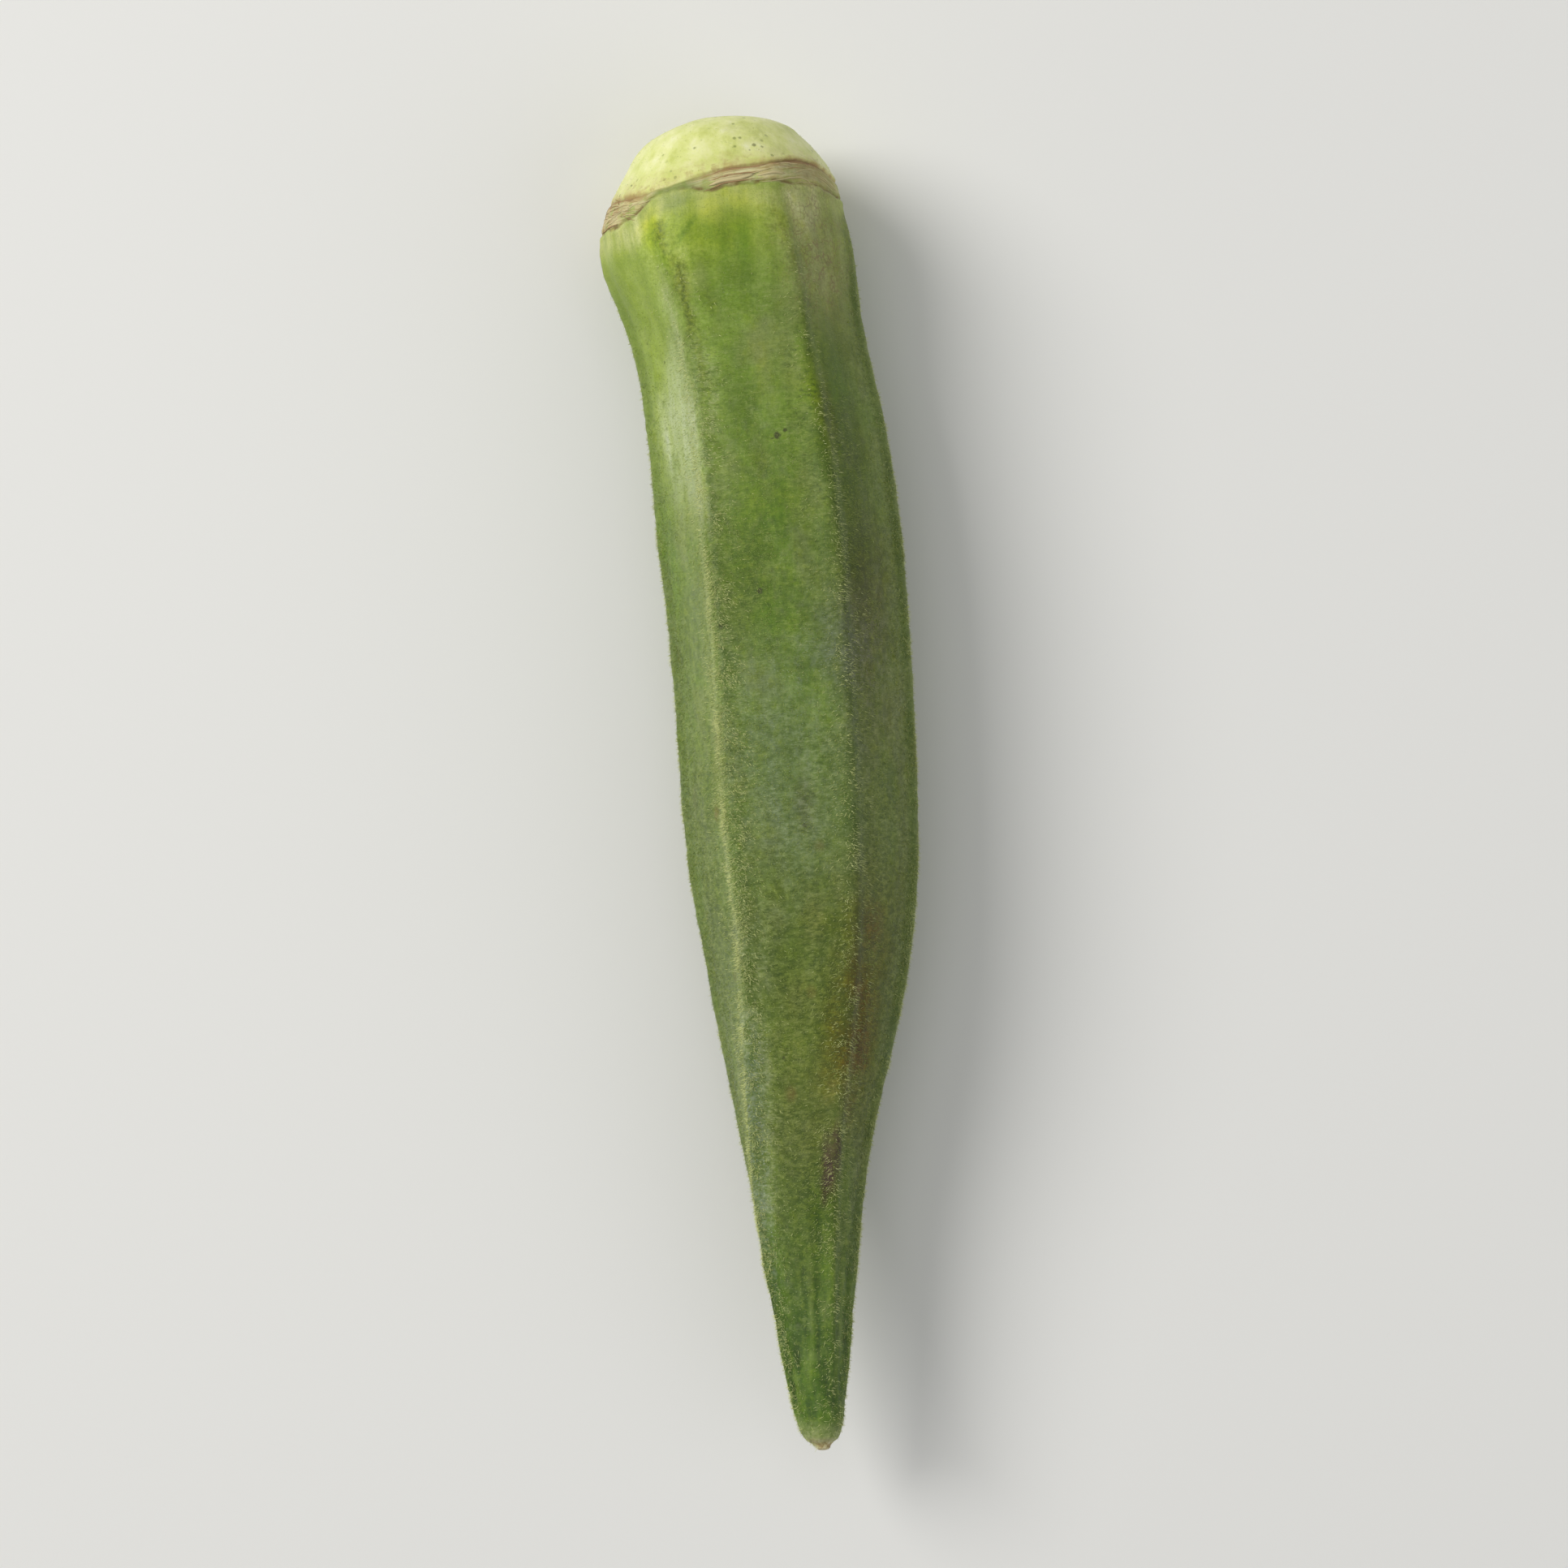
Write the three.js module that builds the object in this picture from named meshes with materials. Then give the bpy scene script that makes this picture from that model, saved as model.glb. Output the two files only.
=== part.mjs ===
// Okra pod: one grown, closed body lying on one facet of its six-sided section.
// Millimetres, +Z up. The pod's long axis runs along Y, the cut stalk towards +Y and the blunt
// tip towards -Y. The origin is the bottom centre of the bounding box, on the resting plane z = 0.
import * as THREE from "three";

// ---- driving dimensions (mm unless said otherwise) ----
const STALK_AT = 0.6; // where the cut stalk face lies along the chord
const TIP_AT = 100.6; // where the tip ends along the chord, 100 mm from the cut face
const ORIGIN_X = 0.1733; // shift that centres the bounding box on the origin
const ORIGIN_Y = 50.4057;
const RING_AT = 6.8; // distance of the calyx scar from the cut face
const RING_HALF = 0.62; // half the width of the scar's raised band
const RING_RISE = 0.16; // height of the scar's band above the cap
const RING_GROOVE = 0.14; // depth of the groove on the cap side of the band
const SAMPLES_PER_FACET = 8; // mesh points across each of the six facets
const REST_LEVEL = 0; // the resting facet is pressed flat at this height

// Stations along the pod. at: distance from the cut face along the chord. x: sideways place of
// the centre line. lean: sideways slope of the section's normal. half: half width across the two
// side ridges. z: height of the centre line. pitch: rise of the centre line per mm towards the tip.
const STATIONS = [
  // at,    x,    lean,   half,  z,    pitch
  [0.6, -0.05, -0.03, 3.9, 7.17, 0.12],
  [0.85, -0.15, -0.022, 4.52, 7.2, 0.12],
  [1.25, -0.38, -0.009, 5.3, 7.25, 0.12],
  [1.8, -0.7, 0.007, 6.05, 7.31, 0.12],
  [2.5, -0.82, 0.026, 6.72, 7.4, 0.12],
  [3.3, -0.84, 0.047, 7.3, 7.5, 0.12],
  [4.2, -0.95, 0.073, 7.92, 7.6, 0.12],
  [5.1, -1.08, 0.1, 8.48, 7.71, 0.12],
  [5.9, -1.19, 0.119, 8.9, 7.8, 0.118],
  [6.8, -1.24, 0.13, 9.2, 7.92, 0.11],
  [7.6, -1.23, 0.133, 9.38, 8.01, 0.095],
  [8.6, -1.16, 0.136, 9.49, 8.1, 0.07],
  [9.8, -0.98, 0.138, 9.52, 8.17, 0.035],
  [11.0, -0.7, 0.14, 9.42, 8.19, 0.005],
  [12.3, -0.4, 0.14, 9.25, 8.18, -0.02],
  [13.7, -0.14, 0.137, 9.06, 8.13, -0.035],
  [15.2, 0.07, 0.132, 8.9, 8.06, -0.04],
  [17.0, 0.28, 0.124, 8.78, 7.99, -0.035],
  [19.0, 0.53, 0.116, 8.79, 7.93, -0.025],
  [21.5, 0.81, 0.104, 8.89, 7.89, -0.015],
  [24.5, 1.1, 0.088, 9.05, 7.86, -0.008],
  [28.0, 1.34, 0.065, 9.19, 7.84, -0.006],
  [32.0, 1.52, 0.04, 9.27, 7.82, -0.006],
  [36.0, 1.67, 0.023, 9.2, 7.8, -0.006],
  [40.0, 1.74, 0.01, 9.14, 7.775, -0.006],
  [44.0, 1.75, 0.003, 9.09, 7.75, -0.006],
  [48.0, 1.7, -0.002, 9.04, 7.725, -0.005],
  [52.0, 1.62, -0.01, 8.98, 7.71, -0.003],
  [56.0, 1.54, -0.027, 8.8, 7.7, 0.0],
  [60.0, 1.48, -0.05, 8.4, 7.71, 0.004],
  [64.0, 1.34, -0.077, 7.79, 7.735, 0.008],
  [68.0, 1.02, -0.088, 7.06, 7.775, 0.013],
  [72.0, 0.66, -0.09, 6.24, 7.84, 0.019],
  [76.0, 0.33, -0.073, 5.38, 7.93, 0.025],
  [80.0, 0.1, -0.045, 4.66, 8.04, 0.03],
  [84.0, -0.01, -0.018, 4.06, 8.17, 0.034],
  [88.0, -0.02, 0.0, 3.45, 8.31, 0.037],
  [91.0, -0.03, 0.004, 3.0, 8.42, 0.039],
  [94.0, -0.08, 0.007, 2.56, 8.54, 0.041],
  [96.5, -0.1, 0.009, 2.17, 8.65, 0.043],
  [98.5, -0.07, 0.01, 1.79, 8.74, 0.044],
  [99.5, -0.03, 0.01, 1.45, 8.78, 0.045],
  [100.0, -0.01, 0.01, 1.13, 8.8, 0.045],
  [100.2, 0.0, 0.01, 0.8, 8.81, 0.045],
  [100.6, 0.02, 0.01, 0.52, 8.83, 0.045],
];

// Where the six ridges run, in degrees round the section from the +X side towards the top:
// distance from the cut face, right, upper right, upper left, left, lower left, lower right.
const RIDGES = [
  [0, 0, 57.5, 118, 178, 240, 300],
  [8, 0, 57.5, 117, 179, 240.5, 299.5],
  [15, 0, 58, 118, 181, 241, 299],
  [30, 0.5, 59, 121, 183, 241, 299],
  [45, 1, 60.2, 123, 184, 241.5, 299],
  [60, 0.5, 60, 122.5, 185, 242, 299],
  [67, 0, 59, 126.5, 187, 243, 299],
  [76, 0, 57, 137, 194, 248, 301],
  [83, 1, 56, 151, 203, 254, 304],
  [90, 3, 56, 161, 209, 259, 307],
  [100.6, 4, 56, 165, 213, 262, 310],
];

// How the section's shape changes along the pod. edge: sharpness of the polygon's corners.
// swell: how far a facet bulges from a flat (0) towards a circle (1). rise: height of a ridge's
// rib as a share of the half width. line: depth of the seam down the middle of a facet.
const SHAPES = [
  // at,  edge, swell, rise,   line
  [0, 8, 0.9, 0.0, 0.0],
  [2.5, 8, 0.86, 0.002, 0.02],
  [5.5, 9, 0.76, 0.006, 0.06],
  [6.8, 9, 0.7, 0.008, 0.06],
  [9, 10, 0.56, 0.012, 0.12],
  [14, 13, 0.36, 0.018, 0.2],
  [20, 15, 0.3, 0.02, 0.16],
  [32, 15, 0.3, 0.018, 0.06],
  [50, 15, 0.28, 0.018, 0.02],
  [70, 14, 0.3, 0.022, 0.06],
  [85, 13, 0.36, 0.03, 0.08],
  [95, 11, 0.5, 0.03, 0.05],
  [99, 8, 0.75, 0.012, 0.0],
  [100.6, 8, 0.95, 0.0, 0.0],
];
const RIB_SPREAD_DEG = 6.2; // half width of a ridge's rib, round the section
const SEAM_SPREAD = 0.16; // half width of a facet's middle seam, as a share of the facet

// ---- smooth curves through the tables ----
// Monotone cubic interpolation of column `col` of a table whose first column is the distance.
function curve(table, col) {
  const n = table.length;
  const xs = table.map((r) => r[0]);
  const ys = table.map((r) => r[col]);
  const h = [];
  const d = [];
  for (let i = 0; i < n - 1; i++) {
    h.push(xs[i + 1] - xs[i]);
    d.push((ys[i + 1] - ys[i]) / h[i]);
  }
  const end = (h0, h1, d0, d1) => {
    let m = ((2 * h0 + h1) * d0 - h0 * d1) / (h0 + h1);
    if (Math.sign(m) !== Math.sign(d0)) m = 0;
    else if (Math.sign(d0) !== Math.sign(d1) && Math.abs(m) > 3 * Math.abs(d0)) m = 3 * d0;
    return m;
  };
  const m = new Array(n).fill(0);
  for (let i = 1; i < n - 1; i++) {
    if (d[i - 1] * d[i] > 0) {
      const w1 = 2 * h[i] + h[i - 1];
      const w2 = h[i] + 2 * h[i - 1];
      m[i] = (w1 + w2) / (w1 / d[i - 1] + w2 / d[i]);
    }
  }
  m[0] = end(h[0], h[1], d[0], d[1]);
  m[n - 1] = end(h[n - 2], h[n - 3], d[n - 2], d[n - 3]);
  return (x) => {
    if (x <= xs[0]) return ys[0];
    if (x >= xs[n - 1]) return ys[n - 1];
    let i = 0;
    while (x > xs[i + 1]) i++;
    const t = (x - xs[i]) / h[i];
    const a = 1 - t;
    return (
      ys[i] * (1 + 2 * t) * a * a +
      m[i] * h[i] * t * a * a +
      ys[i + 1] * t * t * (3 - 2 * t) -
      m[i + 1] * h[i] * t * t * a
    );
  };
}
const centreX = curve(STATIONS, 1);
const lean = curve(STATIONS, 2);
const halfWidth = curve(STATIONS, 3);
const centreZ = curve(STATIONS, 4);
const pitch = curve(STATIONS, 5);
const ridgeDeg = [1, 2, 3, 4, 5, 6].map((c) => curve(RIDGES, c));
const edge = curve(SHAPES, 1);
const swell = curve(SHAPES, 2);
const ribRise = curve(SHAPES, 3);
const seamDepth = curve(SHAPES, 4);

const RAD = Math.PI / 180;

// Radius of the section at distance s and angle theta (radians), ridges at the angles `ridge`.
function sectionRadius(s, theta, ridge) {
  const half = halfWidth(s);
  const rise = ribRise(s) * half;
  const rho = half - rise;
  const p = edge(s);
  let sum = 0;
  for (let k = 0; k < 6; k++) {
    const a = ridge[k];
    const b = k < 5 ? ridge[k + 1] : ridge[0] + 2 * Math.PI;
    const mid = (a + b) / 2;
    const dist = rho * Math.cos((b - a) / 2);
    const c = Math.cos(theta - mid) / dist;
    if (c > 0) sum += Math.pow(c, p);
  }
  const flat = Math.pow(sum, -1 / p);
  const sw = swell(s);
  const base = flat * (1 - sw) + rho * sw;
  let r = base;
  // the rib on each ridge brings the section out to the full half width
  for (let k = 0; k < 6; k++) {
    let d = (theta - ridge[k]) % (2 * Math.PI);
    if (d > Math.PI) d -= 2 * Math.PI;
    if (d < -Math.PI) d += 2 * Math.PI;
    const g = Math.exp(-Math.pow(d / (RIB_SPREAD_DEG * RAD), 2));
    r += (half - base) * g * (1 - Math.min(1, 1.02 * sw * sw));
    const b = k < 5 ? ridge[k + 1] : ridge[0] + 2 * Math.PI;
    let e = (theta - (ridge[k] + b) / 2) % (2 * Math.PI);
    if (e > Math.PI) e -= 2 * Math.PI;
    if (e < -Math.PI) e += 2 * Math.PI;
    const share = e / (b - ridge[k]);
    r -= seamDepth(s) * Math.exp(-Math.pow(share / SEAM_SPREAD, 2));
  }
  // the calyx scar: a groove on the cap side, then a low raised band
  const q = (s - RING_AT) / RING_HALF;
  r += RING_RISE * Math.exp(-Math.pow(q - 0.35, 4));
  r -= RING_GROOVE * Math.exp(-Math.pow((q + 1.25) / 0.45, 2));
  return r;
}

// ---- the pod's closed mesh ----
const ALONG = [
  STALK_AT, 0.85, 1.25, 1.8, 2.6, 3.5, 4.5, 5.3, 5.75, 6.02, 6.3, 6.6, 7.0, 7.35, 7.8, 8.6, 9.8,
  11.0, 12.4, 14.0, 16.0, 18.0, 20.5, 23.5, 27.0, 31.0, 35.0, 39.0, 43.0, 47.0, 51.0, 55.0, 59.0,
  62.5, 66.0, 69.0, 72.0, 75.0, 78.0, 81.0, 84.0, 87.0, 90.0, 92.5, 95.0, 97.0, 98.5, 99.4, 99.9,
  100.2, TIP_AT,
];
const RING = 6 * SAMPLES_PER_FACET;

function frameAt(s) {
  const m = lean(s);
  const q = pitch(s);
  const right = new THREE.Vector3(1, m, 0).normalize();
  const along = new THREE.Vector3(m, -1, q).normalize();
  const up = new THREE.Vector3().crossVectors(along, right).normalize();
  const centre = new THREE.Vector3(centreX(s) - ORIGIN_X, ORIGIN_Y - s, centreZ(s));
  return { right, up, centre };
}

const positions = [];
for (const s of ALONG) {
  const { right, up, centre } = frameAt(s);
  const ridge = ridgeDeg.map((f) => f(s) * RAD);
  for (let k = 0; k < 6; k++) {
    const a = ridge[k];
    const b = k < 5 ? ridge[k + 1] : ridge[0] + 2 * Math.PI;
    for (let i = 0; i < SAMPLES_PER_FACET; i++) {
      // samples gather towards the ridges, where the section bends most
      const u = i / SAMPLES_PER_FACET;
      const f = u - (0.35 * Math.sin(2 * Math.PI * u)) / (2 * Math.PI);
      const theta = a + (b - a) * f;
      const r = sectionRadius(s, theta, ridge);
      const p = centre
        .clone()
        .addScaledVector(right, r * Math.cos(theta))
        .addScaledVector(up, r * Math.sin(theta));
      positions.push(p.x, p.y, Math.max(REST_LEVEL, p.z));
    }
  }
}
const first = positions.length / 3;
const stalk = frameAt(STALK_AT).centre;
positions.push(stalk.x, stalk.y, stalk.z);
const last = first + 1;
const tip = frameAt(TIP_AT).centre;
positions.push(tip.x, tip.y, tip.z);

const index = [];
const at = (i, j) => i * RING + (j % RING);
for (let i = 0; i < ALONG.length - 1; i++) {
  for (let j = 0; j < RING; j++) {
    index.push(at(i, j), at(i, j + 1), at(i + 1, j));
    index.push(at(i, j + 1), at(i + 1, j + 1), at(i + 1, j));
  }
}
const end = ALONG.length - 1;
for (let j = 0; j < RING; j++) {
  index.push(first, at(0, j + 1), at(0, j)); // the flat cut across the stalk
  index.push(last, at(end, j), at(end, j + 1)); // the blunt dried end of the tip
}

const geometry = new THREE.BufferGeometry();
geometry.setAttribute("position", new THREE.Float32BufferAttribute(positions, 3));
geometry.setIndex(index);
geometry.computeVertexNormals();

const skin = new THREE.MeshStandardMaterial({
  color: new THREE.Color(0.27, 0.4, 0.14),
  roughness: 0.55,
  metalness: 0,
});
const okraPod = new THREE.Mesh(geometry, skin);
okraPod.name = "okra_pod";

const group = new THREE.Group();
group.add(okraPod);
export default group;
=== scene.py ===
import math
import bpy
import numpy as np
from mathutils import Matrix, Vector


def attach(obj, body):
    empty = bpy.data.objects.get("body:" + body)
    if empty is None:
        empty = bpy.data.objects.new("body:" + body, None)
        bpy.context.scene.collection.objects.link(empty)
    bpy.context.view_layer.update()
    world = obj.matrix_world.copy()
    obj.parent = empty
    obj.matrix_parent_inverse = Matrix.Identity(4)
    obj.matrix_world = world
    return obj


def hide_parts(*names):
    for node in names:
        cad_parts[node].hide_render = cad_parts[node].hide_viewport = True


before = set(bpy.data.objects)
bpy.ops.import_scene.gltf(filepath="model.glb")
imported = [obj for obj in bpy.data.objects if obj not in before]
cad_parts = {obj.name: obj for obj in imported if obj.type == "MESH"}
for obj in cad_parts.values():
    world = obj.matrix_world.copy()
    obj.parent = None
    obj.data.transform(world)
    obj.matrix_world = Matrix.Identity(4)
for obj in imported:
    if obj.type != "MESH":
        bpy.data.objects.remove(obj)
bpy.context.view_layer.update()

MM = 0.001

# =====================================================================================
# The pod's shape, in millimetres, the same tables as the CAD part
# =====================================================================================
STALK_AT, TIP_AT = 0.6, 100.6
ORIGIN_X, ORIGIN_Y = 0.1733, 50.4057
RING_AT = 6.8
RIB_SPREAD = math.radians(6.2)
SEAM_SPREAD = 0.16

STATIONS = np.array([
    [0.6, -0.05, -0.03, 3.9, 7.17, 0.12],
    [0.85, -0.15, -0.022, 4.52, 7.2, 0.12],
    [1.25, -0.38, -0.009, 5.3, 7.25, 0.12],
    [1.8, -0.7, 0.007, 6.05, 7.31, 0.12],
    [2.5, -0.82, 0.026, 6.72, 7.4, 0.12],
    [3.3, -0.84, 0.047, 7.3, 7.5, 0.12],
    [4.2, -0.95, 0.073, 7.92, 7.6, 0.12],
    [5.1, -1.08, 0.1, 8.48, 7.71, 0.12],
    [5.9, -1.19, 0.119, 8.9, 7.8, 0.118],
    [6.8, -1.24, 0.13, 9.2, 7.92, 0.11],
    [7.6, -1.23, 0.133, 9.38, 8.01, 0.095],
    [8.6, -1.16, 0.136, 9.49, 8.1, 0.07],
    [9.8, -0.98, 0.138, 9.52, 8.17, 0.035],
    [11.0, -0.7, 0.14, 9.42, 8.19, 0.005],
    [12.3, -0.4, 0.14, 9.25, 8.18, -0.02],
    [13.7, -0.14, 0.137, 9.06, 8.13, -0.035],
    [15.2, 0.07, 0.132, 8.9, 8.06, -0.04],
    [17.0, 0.28, 0.124, 8.78, 7.99, -0.035],
    [19.0, 0.53, 0.116, 8.79, 7.93, -0.025],
    [21.5, 0.81, 0.104, 8.89, 7.89, -0.015],
    [24.5, 1.1, 0.088, 9.05, 7.86, -0.008],
    [28.0, 1.34, 0.065, 9.19, 7.84, -0.006],
    [32.0, 1.52, 0.04, 9.27, 7.82, -0.006],
    [36.0, 1.67, 0.023, 9.2, 7.8, -0.006],
    [40.0, 1.74, 0.01, 9.14, 7.775, -0.006],
    [44.0, 1.75, 0.003, 9.09, 7.75, -0.006],
    [48.0, 1.7, -0.002, 9.04, 7.725, -0.005],
    [52.0, 1.62, -0.01, 8.98, 7.71, -0.003],
    [56.0, 1.54, -0.027, 8.8, 7.7, 0.0],
    [60.0, 1.48, -0.05, 8.4, 7.71, 0.004],
    [64.0, 1.34, -0.077, 7.79, 7.735, 0.008],
    [68.0, 1.02, -0.088, 7.06, 7.775, 0.013],
    [72.0, 0.66, -0.09, 6.24, 7.84, 0.019],
    [76.0, 0.33, -0.073, 5.38, 7.93, 0.025],
    [80.0, 0.1, -0.045, 4.66, 8.04, 0.03],
    [84.0, -0.01, -0.018, 4.06, 8.17, 0.034],
    [88.0, -0.02, 0.0, 3.45, 8.31, 0.037],
    [91.0, -0.03, 0.004, 3.0, 8.42, 0.039],
    [94.0, -0.08, 0.007, 2.56, 8.54, 0.041],
    [96.5, -0.1, 0.009, 2.17, 8.65, 0.043],
    [98.5, -0.07, 0.01, 1.79, 8.74, 0.044],
    [99.5, -0.03, 0.01, 1.45, 8.78, 0.045],
    [100.0, -0.01, 0.01, 1.13, 8.8, 0.045],
    [100.2, 0.0, 0.01, 0.8, 8.81, 0.045],
    [100.6, 0.02, 0.01, 0.52, 8.83, 0.045],
])
RIDGES = np.array([
    [0, 0, 57.5, 118, 178, 240, 300],
    [8, 0, 57.5, 117, 179, 240.5, 299.5],
    [15, 0, 58, 118, 181, 241, 299],
    [30, 0.5, 59, 121, 183, 241, 299],
    [45, 1, 60.2, 123, 184, 241.5, 299],
    [60, 0.5, 60, 122.5, 185, 242, 299],
    [67, 0, 59, 126.5, 187, 243, 299],
    [76, 0, 57, 137, 194, 248, 301],
    [83, 1, 56, 151, 203, 254, 304],
    [90, 3, 56, 161, 209, 259, 307],
    [100.6, 4, 56, 165, 213, 262, 310],
])
SHAPES = np.array([
    [0, 8, 0.9, 0.0, 0.0],
    [2.5, 8, 0.86, 0.002, 0.02],
    [5.5, 9, 0.76, 0.006, 0.06],
    [6.8, 9, 0.7, 0.008, 0.06],
    [9, 10, 0.56, 0.012, 0.12],
    [14, 13, 0.36, 0.018, 0.2],
    [20, 15, 0.3, 0.02, 0.16],
    [32, 15, 0.3, 0.018, 0.06],
    [50, 15, 0.28, 0.018, 0.02],
    [70, 14, 0.3, 0.022, 0.06],
    [85, 13, 0.36, 0.03, 0.08],
    [95, 11, 0.5, 0.03, 0.05],
    [99, 8, 0.75, 0.012, 0.0],
    [100.6, 8, 0.95, 0.0, 0.0],
])


def curve(table, col):
    """Monotone cubic through one column of a table."""
    xs, ys = table[:, 0], table[:, col]
    h = np.diff(xs)
    d = np.diff(ys) / h
    m = np.zeros(len(xs))
    for i in range(1, len(xs) - 1):
        if d[i - 1] * d[i] > 0:
            w1, w2 = 2 * h[i] + h[i - 1], h[i] + 2 * h[i - 1]
            m[i] = (w1 + w2) / (w1 / d[i - 1] + w2 / d[i])

    def end(h0, h1, d0, d1):
        v = ((2 * h0 + h1) * d0 - h0 * d1) / (h0 + h1)
        if np.sign(v) != np.sign(d0):
            return 0.0
        if np.sign(d0) != np.sign(d1) and abs(v) > 3 * abs(d0):
            return 3 * d0
        return v

    m[0] = end(h[0], h[1], d[0], d[1])
    m[-1] = end(h[-1], h[-2], d[-1], d[-2])

    def f(x):
        x = np.clip(np.asarray(x, float), xs[0], xs[-1])
        i = np.clip(np.searchsorted(xs, x, side="right") - 1, 0, len(xs) - 2)
        t = (x - xs[i]) / h[i]
        a = 1 - t
        return (ys[i] * (1 + 2 * t) * a * a + m[i] * h[i] * t * a * a
                + ys[i + 1] * t * t * (3 - 2 * t) - m[i + 1] * h[i] * t * t * a)

    return f


centre_x, lean, half_width, centre_z, pitch = (curve(STATIONS, c) for c in range(1, 6))
ridge_deg = [curve(RIDGES, c) for c in range(1, 7)]
edge_of, swell_of, rise_of, seam_of = (curve(SHAPES, c) for c in range(1, 5))


def smooth(a, b, x):
    t = np.clip((x - a) / (b - a), 0, 1)
    return t * t * (3 - 2 * t)


def bell(x, at, width):
    return np.exp(-((x - at) / width) ** 2)


# ---- seeded gradient noise ----
_tables = {}


def noise(p, seed=0):
    """Gradient noise of points p (N, 3), about -0.7 to 0.7."""
    if seed not in _tables:
        rng = np.random.RandomState(1000 + seed)
        perm = rng.permutation(256)
        grads = rng.normal(size=(256, 3))
        grads /= np.linalg.norm(grads, axis=1)[:, None]
        _tables[seed] = perm, grads
    perm, grads = _tables[seed]
    i = np.floor(p).astype(np.int64)
    f = p - i
    u = f * f * f * (f * (f * 6 - 15) + 10)
    out = np.zeros(len(p))
    for dx in (0, 1):
        a = perm[(i[:, 0] + dx) & 255]
        wx = u[:, 0] if dx else 1 - u[:, 0]
        for dy in (0, 1):
            b = perm[(a + i[:, 1] + dy) & 255]
            wy = u[:, 1] if dy else 1 - u[:, 1]
            for dz in (0, 1):
                c = perm[(b + i[:, 2] + dz) & 255]
                wz = u[:, 2] if dz else 1 - u[:, 2]
                g = grads[c]
                out += wx * wy * wz * (
                    g[:, 0] * (f[:, 0] - dx) + g[:, 1] * (f[:, 1] - dy) + g[:, 2] * (f[:, 2] - dz))
    return out


def fbm(p, seed=0, octaves=3):
    total, amp = np.zeros(len(p)), 1.0
    for k in range(octaves):
        total += amp * noise(p * 2.03 ** k + 17.3 * k, seed + k)
        amp *= 0.5
    return total


def wrap(a):
    return (a + math.pi) % (2 * math.pi) - math.pi


def around(theta, table):
    """A smooth value by angle, from a table of (degrees, value) that closes on itself."""
    deg = np.degrees(theta) % 360
    xs, ys = np.array(table, float).T
    out = 0.4 * np.interp(deg, xs, ys)
    for w in (3.0, 6.0):
        out = out + 0.15 * (np.interp((deg + w) % 360, xs, ys) + np.interp((deg - w) % 360, xs, ys))
    return out


RING_LINE = [(0, 0.45), (5, 0.4), (17, -0.1), (25, -0.55), (41, -0.62), (54, -0.32), (69, -0.15), (79, -0.28),
             (86, -0.13), (100, 0.05), (115, 0.22), (127, 0.18), (140, -0.2), (151, -0.5), (165, -0.85), (180, -0.95),
             (200, -0.6), (230, 0.1), (262, 0.25), (300, -0.15), (335, 0.2), (360, 0.45)]
SCAR_LOW = [(0, 0.7), (10, 0.9), (25, 1.2), (40, 1.35), (50, 1.0), (55, 0.7), (64, 0.62), (71, 0.62), (79, 0.7),
            (86, 0.55), (93, 0.4), (100, -0.05), (107, -0.42), (114, -0.42), (121, -0.1), (127, 0.42), (137, 0.85),
            (149, 1.15), (165, 1.25), (178, 1.1), (200, 0.8), (225, 0.3), (250, 0.5), (262, -0.2), (285, 0.35),
            (310, 0.8), (335, 0.4), (360, 0.7)]


# how torn the scar is, and how dark its upper line, by angle
TORN = [(0, 0.35), (20, 0.22), (42, 0.26), (52, 0.5), (62, 0.85), (87, 0.9), (92, 0.6), (98, 0.08), (111, 0.08), (122, 0.6),
        (131, 0.7), (170, 0.75), (200, 0.9), (235, 0.8), (255, 0.3), (270, 0.4), (290, 1), (325, 0.8), (345, 0.4), (360, 0.35)]
LINED = [(0, 0.5), (18, 0.9), (34, 1), (48, 0.95), (58, 0.7), (68, 1), (86, 1), (92, 0.6), (98, 0.12), (112, 0.12),
         (122, 0.5), (131, 0.85), (167, 0.7), (200, 0.9), (255, 0.5), (300, 0.9), (340, 0.8), (360, 0.5)]


def ring_line(theta):
    """How far the calyx scar wanders along the pod, by angle (radians)."""
    c, s = np.cos(theta), np.sin(theta)
    p = np.stack([c * 4.5, s * 4.5, np.full_like(c, 3.3)], -1)
    q = np.stack([c * 12, s * 12, np.full_like(c, 1.3)], -1)
    return around(theta, RING_LINE) + 0.10 * noise(p, 41) + 0.08 * noise(q, 42)


def scar_low(theta):
    """The scar's lower edge, measured from its middle."""
    c, s = np.cos(theta), np.sin(theta)
    p = np.stack([c * 5.5, s * 5.5, np.full_like(c, 6.1)], -1)
    q = np.stack([c * 15, s * 15, np.full_like(c, 2.7)], -1)
    return around(theta, SCAR_LOW) + 0.20 * noise(p, 61) + 0.14 * noise(q, 63)


def ridges_at(s):
    return [np.radians(f(s)) for f in ridge_deg]


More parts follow.
